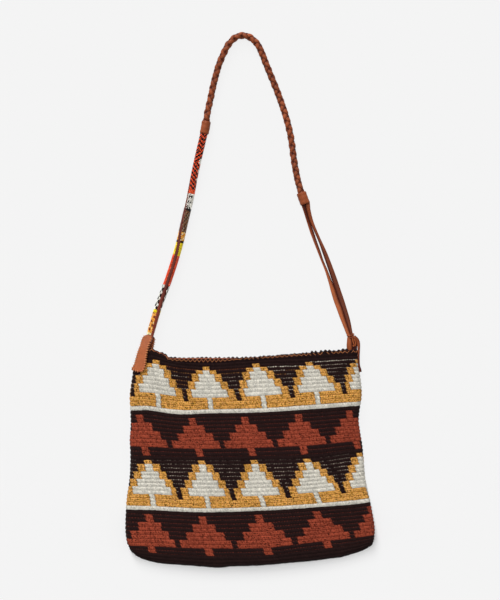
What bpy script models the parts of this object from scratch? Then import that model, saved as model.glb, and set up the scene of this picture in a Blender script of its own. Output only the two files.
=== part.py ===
"""A crochet shoulder bag lying flat on its back, with its shoulder strap laid out above it.

Metres, +Z up. The bag's width runs along X, its height and the strap along Y, with the strap's
top at +Y and the bag's base at -Y. It rests on z = 0, and X = Y = 0 is the middle of its outline.

Run with blender --background --python part.py, or from Blender's text editor.
"""

import math

import bmesh
import bpy
from mathutils import Matrix, Vector

MM = 0.001
GAP = 0.3  # between pieces that touch, in mm

# ---------------------------------------------------------------- driving dimensions, in mm
EDGE_RADIUS = 6.0        # half the bag's thickness where its sides turn round
WALL = 3.5               # crocheted fabric
MOUTH_CROWN = 7.5        # rise of the front panel above its edges, at the mouth
BODY_CROWN = 10.0        # the same, in the middle of the bag
BODY_ROUND = 48          # points round a level of the bag
BODY_LEVELS = 18

TAPE_THICK = 1.5         # leather facing inside the mouth
TAPE_DEEP = 11.0
TAPE_PROUD = 0.6         # how far the facing shows above the crocheted rim

CORNER_LIFT = 2.9        # the bag's strap corner rests on the rear tab
TAB_THICK = 2.0
TAB_HALF_WIDTH = (7.7, 6.5)    # at the bottom, at the top

LACE_RADIUS = 3.2        # leather lace under the beads
BEAD_INNER = 3.5
BEAD_OUTER = 5.0
BEAD_SLIT = math.radians(52)   # the part of the lace that the beads leave bare
BRAID_RADIUS = 4.3
COLLAR_LEFT = (5.9, 17.0)      # radius, length
COLLAR_RIGHT = (6.3, 16.0)
COLLAR_WALL = 1.4
THONG_THICK = 2.3
KNOT_RADII = (4.3, 2.6, 3.5)
OUTLINE_MIDDLE = 3.6     # y of the middle of the outline box in the lists below

# The bag's outline: its rim from left to right, its base from left to right, and its two sides
# from the rim down, as points (x, y).
RIM = [(-147.0, -61.0), (-127.1, -61.9), (-120.0, -65.0), (-114.1, -66.9), (-109.5, -69.4),
       (-105.5, -72.4), (-97.0, -73.3), (-64.5, -73.4), (-12.4, -73.0), (26.7, -70.8),
       (65.9, -67.9), (105.0, -65.3), (128.4, -63.9), (140.2, -63.5)]
BASE = [(-149.3, -329.9), (-140.2, -334.5), (-131.1, -337.5), (-119.3, -340.0),
        (-103.7, -341.5), (-77.6, -343.2), (-55.0, -345.0), (-39.8, -346.0), (-25.4, -344.4),
        (5.9, -343.3), (26.7, -342.0), (43.7, -340.3), (78.9, -337.5), (106.3, -334.0),
        (119.0, -332.6), (133.7, -328.4), (142.8, -325.7), (154.5, -320.5)]
SIDE_LEFT = [(-147.0, -61.0), (-149.3, -75.0), (-152.2, -90.6), (-154.5, -106.3),
             (-156.5, -121.9), (-155.8, -140.2), (-155.4, -159.7), (-156.7, -179.3),
             (-155.8, -200.2), (-157.1, -231.5), (-160.7, -257.5), (-162.3, -290.1),
             (-161.0, -309.7), (-158.4, -317.5), (-154.6, -324.6), (-149.3, -329.9)]
SIDE_RIGHT = [(140.2, -63.5), (140.6, -75.0), (142.5, -90.6), (144.7, -106.3), (145.4, -121.9),
              (143.2, -137.6), (141.5, -153.2), (143.4, -168.9), (146.0, -184.5),
              (147.6, -200.2), (150.6, -231.5), (157.1, -262.8), (162.3, -294.0),
              (161.4, -309.7), (158.8, -316.8), (154.5, -320.5)]

# The strap's route, as points (x, y, z of its centre).
LACE_ROUTE = [(-131.8, -50.0, 7.1), (-129.3, -41.2, 6.9), (-126.9, -32.6, 6.4),
              (-119.1, -5.9, 5.3), (-109.8, 18.9, 5.1), (-100.8, 45.0, 5.1), (-92.2, 73.7, 5.1),
              (-84.9, 105.0, 5.1), (-77.6, 136.3, 5.1), (-71.7, 167.6, 5.1),
              (-65.9, 193.6, 5.3), (-60.9, 214.5, 5.7), (-57.7, 228.9, 6.0),
              (-56.4, 236.9, 6.0)]
BRAID_ROUTE = [(-56.4, 236.9, 6.0), (-54.4, 250.4, 5.2), (-50.7, 267.3, 4.4),
               (-46.0, 288.8, 4.4), (-40.6, 308.4, 4.4), (-34.9, 322.9, 4.4),
               (-28.0, 336.2, 4.4), (-18.8, 345.9, 4.4), (-8.6, 348.9, 4.4),
               (1.4, 345.8, 4.4), (10.4, 337.2, 4.4), (16.4, 325.4, 4.4), (22.8, 308.8, 4.4),
               (32.6, 284.9, 4.4), (38.6, 269.3, 4.4), (44.2, 253.6, 4.4), (48.9, 238.0, 4.4),
               (52.8, 222.3, 4.4), (55.4, 206.7, 4.4), (57.5, 191.0, 4.4), (59.9, 175.4, 4.5),
               (63.0, 159.7, 5.2), (66.6, 146.7, 6.2), (70.6, 135.0, 6.4)]
# The last number of a thong's points is its width there.
THONG_LEFT = [(71.7, 123.8, 6.2, 4.6), (74.2, 115.0, 4.6, 4.6), (77.1, 105.0, 2.4, 4.6),
              (83.2, 89.3, 1.4, 4.4), (87.9, 75.0, 1.4, 4.4), (97.1, 51.5, 1.4, 4.2),
              (104.8, 29.3, 1.4, 5.0), (108.1, 20.2, 1.6, 5.8), (114.1, 3.3, 2.4, 6.0),
              (118.4, -9.8, 3.6, 5.6), (123.0, -22.8, 5.0, 5.2), (128.4, -35.9, 6.6, 3.8),
              (130.2, -41.0, 7.0, 3.0)]
THONG_RIGHT = [(77.1, 125.3, 6.2, 4.6), (79.6, 116.0, 4.6, 4.6), (82.7, 105.0, 2.4, 4.8),
               (88.3, 89.3, 1.4, 4.8), (94.8, 75.0, 1.4, 5.0), (104.6, 51.5, 1.4, 6.4),
               (112.3, 29.3, 1.4, 6.6), (115.8, 20.2, 1.6, 6.6), (121.1, 3.3, 2.4, 5.8),
               (125.2, -9.8, 3.6, 5.2), (129.5, -22.8, 5.0, 4.8), (133.0, -35.9, 6.6, 3.6),
               (134.0, -41.0, 7.0, 3.0)]
KNOT_CENTRE = (131.9, -44.2, 7.1)
KNOT_LOOP = [(130.8, -47.6, 7.1, 5.0), (129.5, -52.8, 6.9, 5.6), (129.4, -58.0, 6.5, 5.4),
             (130.0, -62.4, 6.2, 5.0)]
THONG_END = [(137.3, -46.4, 6.9, 5.0), (140.1, -49.6, 6.3, 5.0), (142.3, -55.0, 5.4, 5.0),
             (142.9, -62.0, 4.6, 5.0), (142.8, -70.0, 3.9, 5.0), (143.2, -78.0, 3.4, 4.8),
             (144.3, -85.5, 3.2, 4.8), (145.3, -91.5, 3.2, 4.8)]
THONG_END_THICK = 2.8

TAB_FRONT = [(-143.9, -89.0), (-131.4, -42.3)]     # centre line, bottom to top
TAB_REAR = [(-141.0, -88.0), (-129.6, -43.6)]


# ---------------------------------------------------------------- curves through points
def through(points, key, t):
    """A smooth curve through points at coordinate t, where key picks the running coordinate."""
    other = 1 - key
    knots = [p[key] for p in points]
    sign = 1.0 if knots[-1] > knots[0] else -1.0
    t = min(max(t * sign, knots[0] * sign), knots[-1] * sign) * sign
    i = 0
    while i < len(knots) - 2 and (t - knots[i + 1]) * sign > 0:
        i += 1
    k0, k1 = knots[i], knots[i + 1]

    def slope(j):
        a, b = max(j - 1, 0), min(j + 1, len(points) - 1)
        return (points[b][other] - points[a][other]) / (knots[b] - knots[a])

    h = k1 - k0
    s = (t - k0) / h
    p0, p1 = points[i][other], points[i + 1][other]
    return ((2 * s**3 - 3 * s**2 + 1) * p0 + (s**3 - 2 * s**2 + s) * h * slope(i)
            + (-2 * s**3 + 3 * s**2) * p1 + (s**3 - s**2) * h * slope(i + 1))


def route(points, step):
    """Points about step apart on one smooth curve through the route's points (any dimension)."""
    fine = []
    last = len(points) - 1
    for i in range(last):
        p0, p1 = points[max(i - 1, 0)], points[i]
        p2, p3 = points[i + 1], points[min(i + 2, last)]
        for j in range(16):
            t = j / 16
            fine.append([0.5 * (2 * b + (c - a) * t + (2 * a - 5 * b + 4 * c - d) * t * t
                                + (3 * b - a - 3 * c + d) * t**3)
                         for a, b, c, d in zip(p0, p1, p2, p3)])
    fine.append(list(points[-1]))
    along = [0.0]
    for a, b in zip(fine, fine[1:]):
        along.append(along[-1] + math.dist(a[:3], b[:3]))
    count = max(2, round(along[-1] / step))
    found, i = [], 0
    for n in range(count + 1):
        s = along[-1] * n / count
        while i < len(along) - 2 and along[i + 1] < s:
            i += 1
        f = (s - along[i]) / (along[i + 1] - along[i])
        found.append([u + (w - u) * f for u, w in zip(fine[i], fine[i + 1])])
    return found, along[-1]


def smooth(t):
    t = min(max(t, 0.0), 1.0)
    return t * t * (3 - 2 * t)


# ---------------------------------------------------------------- the bag's shape
def rim_y(x):
    return through(RIM, 0, x)


def base_y(x):
    return through(BASE, 0, x)


def corner_lift(x, y):
    return CORNER_LIFT * smooth((82 - math.hypot(x + 138, y + 68)) / 46)


def crown(a, v):
    tall = MOUTH_CROWN + (BODY_CROWN - MOUTH_CROWN) * math.sin(math.pi * min(v, 1.0)) ** 0.8
    return tall * (1 - abs(2 * a - 1) ** 2.4)


def bag_point(around, v, inset, deep=None):
    """A point of the bag's skin, inset mm inside its outer face.

    around runs 0 to 1 over the front from left to right and 1 to 2 back under the rear;
    v runs 0 at the rim to 1 at the base, or deep says how far below the rim, in mm.
    """
    front = around <= 1.0
    across = around if front else 2.0 - around
    a = (1 - math.cos(math.pi * across)) / 2
    top, bottom = RIM[0][1], BASE[0][1]
    left_y = top + v * (bottom - top)
    right_y = RIM[-1][1] + v * (BASE[-1][1] - RIM[-1][1])
    left = through(SIDE_LEFT, 1, left_y) + inset
    right = through(SIDE_RIGHT, 1, right_y) - inset
    x = left + a * (right - left)
    low = base_y(x) + inset
    y = rim_y(x) + v * (low - rim_y(x))
    if deep is not None:
        y = rim_y(x) - deep
    radius = EDGE_RADIUS - inset
    side = max(0.0, 1 - min(x - left, right - x) / radius)
    foot = max(0.0, 1 - (y - low) / radius)
    half = radius * math.sqrt(1 - min(side, 1.0) ** 2) * math.sqrt(1 - min(foot, 1.0) ** 2)
    middle = EDGE_RADIUS + corner_lift(x, y)
    if front:
        z = middle + half + crown(a, v if deep is None else 0.0) * half / radius
    else:
        z = middle - half
    return Vector((x, y, z)) * MM


def skin(bm, rows, point):
    """An open grid of rows by BODY_ROUND faces, closed round the bag, at point(around, row)."""
    made = bmesh.ops.create_grid(bm, x_segments=BODY_ROUND, y_segments=rows, size=1.0)["verts"]
    for vert in made:
        i = round((vert.co.x + 1) / 2 * BODY_ROUND)
        j = round((vert.co.y + 1) / 2 * rows)
        vert.co = point(2.0 * i / BODY_ROUND, rows - j)
    bmesh.ops.remove_doubles(bm, verts=made, dist=1e-6)


# ---------------------------------------------------------------- making objects
def material(name, colour, roughness, metallic=0.0):
    made = bpy.data.materials.new(name)
    made.use_nodes = True
    shader = made.node_tree.nodes["Principled BSDF"]
    shader.inputs["Base Color"].default_value = (*colour, 1.0)
    shader.inputs["Roughness"].default_value = roughness
    shader.inputs["Metallic"].default_value = metallic
    return made


def keep(name, data, made_of, smooth_shaded=True):
    obj = bpy.data.objects.new(name, data)
    data.materials.append(made_of)
    bag.objects.link(obj)
    if smooth_shaded and isinstance(data, bpy.types.Mesh):
        data.shade_smooth()
        data.set_sharp_from_angle(angle=math.radians(45))
    return obj


def mesh_from(bm, name):
    bmesh.ops.recalc_face_normals(bm, faces=bm.faces)
    mesh = bpy.data.meshes.new(name)
    bm.to_mesh(mesh)
    bm.free()
    return mesh


def body():
    """The bag: its outer and inner skins, joined round the mouth. The levels close up towards
    the base, where the fabric turns round."""
    bm = bmesh.new()

    def level(j):
        return 1 - (1 - j / BODY_LEVELS) ** 1.9

    skin(bm, BODY_LEVELS, lambda s, j: bag_point(s, level(j), 0.0))
    skin(bm, BODY_LEVELS, lambda s, j: bag_point(s, level(j), WALL))
    ends = [e for e in bm.edges if len(e.link_faces) == 1]
    bmesh.ops.bridge_loops(bm, edges=ends)
    return keep("crochet_body", mesh_from(bm, "crochet_body"), CROCHET)


def facing():
    """The leather tape sewn round the inside of the mouth."""
    bm = bmesh.new()
    near, far = WALL + GAP, WALL + GAP + TAPE_THICK
    drop = [-TAPE_PROUD, TAPE_DEEP * 0.45, TAPE_DEEP]
    for inset in (near, far):
        skin(bm, 2, lambda s, j, inset=inset: bag_point(s, 0.0, inset, drop[j]))
    ends = [e for e in bm.edges if len(e.link_faces) == 1]
    high = [e for e in ends if sum(v.co.y - rim_y(v.co.x / MM) * MM for v in e.verts) > 0]
    low = [e for e in ends if e not in high]
    bmesh.ops.bridge_loops(bm, edges=high)
    bmesh.ops.bridge_loops(bm, edges=low)
    return keep("rim_facing", mesh_from(bm, "rim_facing"), STRAP_LEATHER)


def sheet(name, rows, columns, point, thick, made_of):
    """A plate of leather: an open grid at point(row, column), made thick both ways."""
    bm = bmesh.new()
    made = bmesh.ops.create_grid(bm, x_segments=columns, y_segments=rows, size=1.0)["verts"]
    for vert in made:
        i = round((vert.co.x + 1) / 2 * columns)
        j = round((vert.co.y + 1) / 2 * rows)
        vert.co = point(j / rows, i / columns * 2 - 1)
    obj = keep(name, mesh_from(bm, name), made_of)
    solid = obj.modifiers.new("thickness", "SOLIDIFY")
    solid.thickness = thick * MM
    solid.offset = 0.0
    return obj


def tab(name, line, low_z):
    """One leaf of the leather tab, low_z(x, y) mm above the ground underneath."""
    (x0, y0), (x1, y1) = line
    length = math.dist(*line)
    along = Vector((x1 - x0, y1 - y0)) / length
    side = Vector((along.y, -along.x))
    low_half, top_half = TAB_HALF_WIDTH

    def point(t, c):
        t = (1 - math.cos(math.pi * t)) / 2
        half = low_half + (top_half - low_half) * t
        low, high = t * length / 2.2, (1 - t) * length / 4.5
        if low < 1:
            half -= 1.6 * (1 - math.sqrt(1 - (1 - low) ** 2))
        if high < 1:
            half -= 3.4 * (1 - math.sqrt(1 - (1 - high) ** 2))
        at = Vector((x0, y0)) + along * t * length + side * c * half
        return Vector((at.x, at.y, low_z(at.x, at.y) + TAB_THICK / 2)) * MM

    return sheet(name, 12, 4, point, TAB_THICK, TAB_LEATHER)


def over_bag(x, y):
    """Just above the front panel, and down over the lace past the rim."""
    v = (rim_y(x) - y) / (rim_y(x) - base_y(x))
    left = through(SIDE_LEFT, 1, min(y, SIDE_LEFT[0][1]))
    right = through(SIDE_RIGHT, 1, min(y, SIDE_RIGHT[0][1]))
    a = min(max((x - left) / (right - left), 0.0), 1.0)
    on_bag = 2 * EDGE_RADIUS + corner_lift(x, y) + crown(a, max(v, 0.0)) + GAP + 0.25
    on_lace = 11.0
    return on_lace + (on_bag - on_lace) * smooth((-43 - y) / 17)


def frames(points):
    """(point, direction, side, up) along a route lying near the ground."""
    found = []
    for i, p in enumerate(points):
        a, b = points[max(i - 1, 0)], points[min(i + 1, len(points) - 1)]
        ahead = (Vector(b[:3]) - Vector(a[:3])).normalized()
        side = ahead.cross(Vector((0, 0, 1))).normalized()
        found.append((Vector(p[:3]), ahead, side, side.cross(ahead).normalized()))
    return found


def ribbon(name, points, step, thick, made_of, on_edge=False):
    """A flat thong along a route whose last number is its width."""
    line, _ = route(points, step)
    at = frames(line)
    rows = len(line) - 1

    def point(t, c):
        j = round(t * rows)
        centre, _, side, up = at[j]
        wide = up if on_edge else side
        return (centre + wide * (c * line[j][3] / 2)) * MM

    return sheet(name, rows, 2, point, thick, made_of)


def tube(name, points, radius, step, made_of, resolution):
    """A round cord along a route: a bevelled curve with filled caps."""
    line, length = route(points, step)
    data = bpy.data.curves.new(name, "CURVE")
    data.dimensions = "3D"
    data.bevel_depth = radius * MM
    data.bevel_resolution = resolution
    data.use_fill_caps = True
    data.twist_mode = "Z_UP"
    spline = data.splines.new("POLY")
    spline.points.add(len(line) - 1)
    for knot, p in zip(spline.points, line):
        knot.co = (p[0] * MM, p[1] * MM, p[2] * MM, 1.0)
    return keep(name, data, made_of), length


def between(points, first, last):
    """The stretch of a route from first to last, in mm along it."""
    line, length = route(points, 1.0)
    step = length / (len(line) - 1)
    return line[round(first / step):round(last / step) + 1]


def slit_at(t):
    """Where the bare stripe of the lace looks, as an angle from straight up towards the bag's
    left, t from 0 at the tab to 1 at the collar."""
    turn = [(0.0, -62.0), (0.14, -50.0), (0.22, -24.0), (0.36, -4.0), (0.46, 14.0),
            (0.54, 44.0), (0.70, 64.0), (0.80, 92.0), (1.0, 118.0)]
    return math.radians(through(turn, 0, t))


def bead_sleeve(points):
    """The beadwork round the lace: a tube with a slit that turns slowly along it."""
    line, length = route(points, 9.0)
    at = frames(line)
    rows, columns = len(line) - 1, 14
    bm = bmesh.new()
    made = bmesh.ops.create_grid(bm, x_segments=columns, y_segments=rows, size=1.0)["verts"]
    for vert in made:
        i = round((vert.co.x + 1) / 2 * columns)
        j = round((vert.co.y + 1) / 2 * rows)
        centre, _, side, up = at[j]
        angle = slit_at(j / rows) + BEAD_SLIT / 2 + (2 * math.pi - BEAD_SLIT) * i / columns
        vert.co = (centre + (up * math.cos(angle) - side * math.sin(angle)) * BEAD_OUTER) * MM
    mesh = mesh_from(bm, "bead_sleeve")
    obj = keep("bead_sleeve", mesh, BEADS)
    # The open sheet's faces look outwards, and the wall goes inwards from them.
    centre = Vector(line[0][:3]) * MM
    face = mesh.polygons[0]
    if face.normal.dot(face.center - centre) < 0:
        mesh.flip_normals()
    solid = obj.modifiers.new("beads", "SOLIDIFY")
    solid.thickness = (BEAD_OUTER - BEAD_INNER) * MM
    solid.offset = -1.0
    return obj


def collar(name, centre, towards, radius, length):
    """A leather sleeve round the joint of two parts of the strap."""
    bm = bmesh.new()
    bmesh.ops.create_cone(bm, cap_ends=False, segments=20, radius1=radius * MM,
                          radius2=radius * MM, depth=length * MM)
    obj = keep(name, mesh_from(bm, name), STRAP_LEATHER)
    mesh = obj.data
    if mesh.polygons[0].normal.dot(mesh.polygons[0].center) < 0:
        mesh.flip_normals()
    solid = obj.modifiers.new("leather", "SOLIDIFY")
    solid.thickness = COLLAR_WALL * MM
    solid.offset = -1.0
    obj.location = Vector(centre) * MM
    obj.rotation_mode = "QUATERNION"
    obj.rotation_quaternion = Vector((0, 0, 1)).rotation_difference(Vector(towards).normalized())
    return obj


def knot(name, centre, radii):
    bm = bmesh.new()
    bmesh.ops.create_uvsphere(bm, u_segments=16, v_segments=10, radius=1.0)
    bmesh.ops.transform(bm, verts=bm.verts, matrix=Matrix.Diagonal((*[r * MM for r in radii], 1)))
    obj = keep(name, mesh_from(bm, name), STRAP_LEATHER)
    obj.location = Vector(centre) * MM
    return obj


# ---------------------------------------------------------------- the model
for old in list(bpy.data.objects):
    bpy.data.objects.remove(old, do_unlink=True)
bag = bpy.data.collections.new("crochet_shoulder_bag")
bpy.context.scene.collection.children.link(bag)

CROCHET = material("crochet_yarn", (0.045, 0.018, 0.016), 0.92)
TAB_LEATHER = material("tab_leather", (0.46, 0.14, 0.06), 0.6)
STRAP_LEATHER = material("strap_leather", (0.25, 0.075, 0.035), 0.5)
BEADS = material("glass_beads", (0.62, 0.17, 0.05), 0.25)

body()
facing()
tab("strap_tab_front", TAB_FRONT, over_bag)
tab("strap_tab_rear", TAB_REAR, lambda x, y: 0.15)

# The lace runs from between the tab's leaves into the left collar, where the braid starts.
_, lace_length = route(LACE_ROUTE, 9.0)
LEFT_AT = lace_length - COLLAR_LEFT[1] / 2 + 1.0       # where the left collar's middle is
lace_in_collar = between(LACE_ROUTE, 0.0, lace_length - 9.0)
tube("strap_lace", lace_in_collar, LACE_RADIUS, 9.0, STRAP_LEATHER, 2)
bead_sleeve(between(LACE_ROUTE, 9.6, lace_length - COLLAR_LEFT[1] - 0.6))
left_mid = between(LACE_ROUTE, lace_length - COLLAR_LEFT[1] / 2 - 3, lace_length)
a, b = Vector(left_mid[0][:3]), Vector(left_mid[-1][:3])
collar("collar_left", Vector(left_mid[3][:3]), b - a, *COLLAR_LEFT)

_, braid_length = route(BRAID_ROUTE, 9.0)
tube("braided_strap", between(BRAID_ROUTE, -0.0, braid_length - 1.0), BRAID_RADIUS, 9.5,
     STRAP_LEATHER, 2)
right_end = between(BRAID_ROUTE, braid_length - 9.0, braid_length)
a, b = Vector(right_end[0][:3]), Vector(right_end[-1][:3])
collar("collar_right", Vector(right_end[-1][:3]) - (b - a).normalized() * 1.0, b - a,
       *COLLAR_RIGHT)

ribbon("thong_left", THONG_LEFT, 9.0, THONG_THICK, STRAP_LEATHER)
ribbon("thong_right", THONG_RIGHT, 9.0, THONG_THICK, STRAP_LEATHER)
knot("corner_knot", KNOT_CENTRE, KNOT_RADII)
ribbon("knot_loop", KNOT_LOOP, 3.0, THONG_THICK, STRAP_LEATHER)
ribbon("thong_end", THONG_END, 4.0, THONG_END_THICK, STRAP_LEATHER, on_edge=True)

# The lists count from the middle of the picture, and the part from the middle of its outline.
for obj in bag.objects:
    obj.location.y -= OUTLINE_MIDDLE * MM
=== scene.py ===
"""The look of a crochet shoulder bag that lies flat on its back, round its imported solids.

The bag's fabric is a grid of crochet stitches in stitch coordinates: U counts stitches round the
bag and R counts rounds down from the rim. Lengths are in millimetres until a mesh is made.
"""

import math

import bpy
import numpy as np
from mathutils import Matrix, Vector


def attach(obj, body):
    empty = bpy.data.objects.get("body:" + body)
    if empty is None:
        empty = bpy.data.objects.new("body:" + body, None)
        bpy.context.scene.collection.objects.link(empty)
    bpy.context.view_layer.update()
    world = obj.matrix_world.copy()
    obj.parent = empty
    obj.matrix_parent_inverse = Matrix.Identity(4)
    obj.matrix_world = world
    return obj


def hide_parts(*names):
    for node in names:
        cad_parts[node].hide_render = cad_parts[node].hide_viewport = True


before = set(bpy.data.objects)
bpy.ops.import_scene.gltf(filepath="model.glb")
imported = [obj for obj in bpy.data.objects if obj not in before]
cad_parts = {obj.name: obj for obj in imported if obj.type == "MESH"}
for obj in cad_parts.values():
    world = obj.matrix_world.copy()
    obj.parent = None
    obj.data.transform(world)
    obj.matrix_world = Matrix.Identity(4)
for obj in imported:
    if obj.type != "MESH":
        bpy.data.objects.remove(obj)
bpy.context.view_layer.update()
MM = 0.001

# ---------------------------------------------------------------- camera
# The photograph looks straight down on a floor area of 652 by 782 mm.
FLOOR_TALL = 782.4
OUTLINE_MIDDLE = 3.6     # y of the part's origin in the lists below
CAMERA_X, CAMERA_Y = 0.65, 3.26 - OUTLINE_MIDDLE
LENS = 85.0
seen = bpy.data.cameras.new("camera")
seen.lens = LENS
seen.sensor_width = 36.0
seen.clip_end = 20.0
camera = bpy.data.objects.new("camera", seen)
camera.location = (CAMERA_X * MM, CAMERA_Y * MM, (8.0 + FLOOR_TALL * LENS / 36.0) * MM)
bpy.context.scene.collection.objects.link(camera)
bpy.context.scene.camera = camera
bpy.context.scene.view_settings.view_transform = "Standard"
bpy.context.scene.view_settings.look = "None"

# ---------------------------------------------------------------- the frame's own dimensions
EDGE_RADIUS = 6.0
WALL = 3.5
MOUTH_CROWN = 7.5
BODY_CROWN = 10.0
CORNER_LIFT = 2.9
RIM = [(-147.0, -61.0), (-127.1, -61.9), (-120.0, -65.0), (-114.1, -66.9), (-109.5, -69.4),
       (-105.5, -72.4), (-97.0, -73.3), (-64.5, -73.4), (-12.4, -73.0), (26.7, -70.8),
       (65.9, -67.9), (105.0, -65.3), (128.4, -63.9), (140.2, -63.5)]
BASE = [(-149.3, -329.9), (-140.2, -334.5), (-131.1, -337.5), (-119.3, -340.0),
        (-103.7, -341.5), (-77.6, -343.2), (-55.0, -345.0), (-39.8, -346.0), (-25.4, -344.4),
        (5.9, -343.3), (26.7, -342.0), (43.7, -340.3), (78.9, -337.5), (106.3, -334.0),
        (119.0, -332.6), (133.7, -328.4), (142.8, -325.7), (154.5, -320.5)]
SIDE_LEFT = [(-147.0, -61.0), (-149.3, -75.0), (-152.2, -90.6), (-154.5, -106.3),
             (-156.5, -121.9), (-155.8, -140.2), (-155.4, -159.7), (-156.7, -179.3),
             (-155.8, -200.2), (-157.1, -231.5), (-160.7, -257.5), (-162.3, -290.1),
             (-161.0, -309.7), (-158.4, -317.5), (-154.6, -324.6), (-149.3, -329.9)]
SIDE_RIGHT = [(140.2, -63.5), (140.6, -75.0), (142.5, -90.6), (144.7, -106.3), (145.4, -121.9),
              (143.2, -137.6), (141.5, -153.2), (143.4, -168.9), (146.0, -184.5),
              (147.6, -200.2), (150.6, -231.5), (157.1, -262.8), (162.3, -294.0),
              (161.4, -309.7), (158.8, -316.8), (154.5, -320.5)]
LACE_ROUTE = [(-131.8, -50.0, 7.1), (-129.3, -41.2, 6.9), (-126.9, -32.6, 6.4),
              (-119.1, -5.9, 5.3), (-109.8, 18.9, 5.1), (-100.8, 45.0, 5.1), (-92.2, 73.7, 5.1),
              (-84.9, 105.0, 5.1), (-77.6, 136.3, 5.1), (-71.7, 167.6, 5.1),
              (-65.9, 193.6, 5.3), (-60.9, 214.5, 5.7), (-57.7, 228.9, 6.0),
              (-56.4, 236.9, 6.0)]
BRAID_ROUTE = [(-56.4, 236.9, 6.0), (-54.4, 250.4, 5.2), (-50.7, 267.3, 4.4),
               (-46.0, 288.8, 4.4), (-40.6, 308.4, 4.4), (-34.9, 322.9, 4.4),
               (-28.0, 336.2, 4.4), (-18.8, 345.9, 4.4), (-8.6, 348.9, 4.4),
               (1.4, 345.8, 4.4), (10.4, 337.2, 4.4), (16.4, 325.4, 4.4), (22.8, 308.8, 4.4),
               (32.6, 284.9, 4.4), (38.6, 269.3, 4.4), (44.2, 253.6, 4.4), (48.9, 238.0, 4.4),
               (52.8, 222.3, 4.4), (55.4, 206.7, 4.4), (57.5, 191.0, 4.4), (59.9, 175.4, 4.5),
               (63.0, 159.7, 5.2), (66.6, 146.7, 6.2), (70.6, 135.0, 6.4)]
# The last number of a thong's points is its width there.
THONG_LEFT = [(71.7, 123.8, 6.2, 4.6), (74.2, 115.0, 4.6, 4.6), (77.1, 105.0, 2.4, 4.6),
              (83.2, 89.3, 1.4, 4.4), (87.9, 75.0, 1.4, 4.4), (97.1, 51.5, 1.4, 4.2),
              (104.8, 29.3, 1.4, 5.0), (108.1, 20.2, 1.6, 5.8), (114.1, 3.3, 2.4, 6.0),
              (118.4, -9.8, 3.6, 5.6), (123.0, -22.8, 5.0, 5.2), (128.4, -35.9, 6.6, 3.8),
              (130.2, -41.0, 7.0, 3.0)]
THONG_RIGHT = [(77.1, 125.3, 6.2, 4.6), (79.6, 116.0, 4.6, 4.6), (82.7, 105.0, 2.4, 4.8),
               (88.3, 89.3, 1.4, 4.8), (94.8, 75.0, 1.4, 5.0), (104.6, 51.5, 1.4, 6.4),
               (112.3, 29.3, 1.4, 6.6), (115.8, 20.2, 1.6, 6.6), (121.1, 3.3, 2.4, 5.8),
               (125.2, -9.8, 3.6, 5.2), (129.5, -22.8, 5.0, 4.8), (133.0, -35.9, 6.6, 3.6),
               (134.0, -41.0, 7.0, 3.0)]
KNOT_LOOP = [(130.8, -47.6, 7.1, 5.0), (129.5, -52.8, 6.9, 5.6), (129.4, -58.0, 6.5, 5.4),
             (130.0, -62.4, 6.2, 5.0)]
THONG_END = [(137.3, -46.4, 6.9, 5.0), (140.1, -49.6, 6.3, 5.0), (142.3, -55.0, 5.4, 5.0),
             (142.9, -62.0, 4.6, 5.0), (142.8, -70.0, 3.9, 5.0), (143.2, -78.0, 3.4, 4.8),
             (144.3, -85.5, 3.2, 4.8), (145.3, -91.5, 3.2, 4.8)]
TAB_FRONT = [(-143.9, -89.0), (-131.4, -42.3)]
TAB_REAR = [(-141.0, -88.0), (-129.6, -43.6)]

# ---------------------------------------------------------------- the crochet
STITCHES = 198           # round the bag: nine repeats of 22
ROUNDS = 54
REPEAT = 22


def line_of(points, key):
    """The smooth curve through points as a function of their coordinate key."""
    knots = np.array([p[key] for p in points], float)
    values = np.array([p[1 - key] for p in points], float)
    if knots[-1] < knots[0]:
        knots, values = knots[::-1], values[::-1]
    slopes = np.empty_like(values)
    slopes[1:-1] = (values[2:] - values[:-2]) / (knots[2:] - knots[:-2])
    slopes[0] = (values[1] - values[0]) / (knots[1] - knots[0])
    slopes[-1] = (values[-1] - values[-2]) / (knots[-1] - knots[-2])

    def at(t):
        t = np.clip(t, knots[0], knots[-1])
        i = np.clip(np.searchsorted(knots, t, side="right") - 1, 0, len(knots) - 2)
        h = knots[i + 1] - knots[i]
        s = (t - knots[i]) / h
        return ((2 * s**3 - 3 * s**2 + 1) * values[i] + (s**3 - 2 * s**2 + s) * h * slopes[i]
                + (-2 * s**3 + 3 * s**2) * values[i + 1] + (s**3 - s**2) * h * slopes[i + 1])

    return at


rim_y, base_y = line_of(RIM, 0), line_of(BASE, 0)
left_x, right_x = line_of(SIDE_LEFT, 1), line_of(SIDE_RIGHT, 1)


def smooth(t):
    t = np.clip(t, 0.0, 1.0)
    return t * t * (3 - 2 * t)


def noise(*keys):
    """An even number from 0 to 1 for whole-number keys, the same each run."""
    mixed = np.zeros(np.broadcast(*keys).shape, np.uint64) + np.uint64(0x9E3779B9)
    for n, key in enumerate(keys):
        mixed ^= np.asarray(key, np.int64).astype(np.uint64) + np.uint64(0x85EBCA6B * (n + 1))
        mixed *= np.uint64(0xD6E8FEB86659FD93)
        mixed ^= mixed >> np.uint64(32)
        mixed *= np.uint64(0xD6E8FEB86659FD93)
        mixed ^= mixed >> np.uint64(29)
    return (mixed >> np.uint64(11)).astype(float) / float(1 << 53)


def corner_lift(x, y):
    return CORNER_LIFT * smooth((82 - np.hypot(x + 138, y + 68)) / 46)


def crown(a, v):
    v = np.clip(v, 0.0, 1.0)
    tall = MOUTH_CROWN + (BODY_CROWN - MOUTH_CROWN) * np.sin(math.pi * v) ** 0.8
    return tall * (1 - np.abs(2 * a - 1) ** 2.4)


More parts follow.
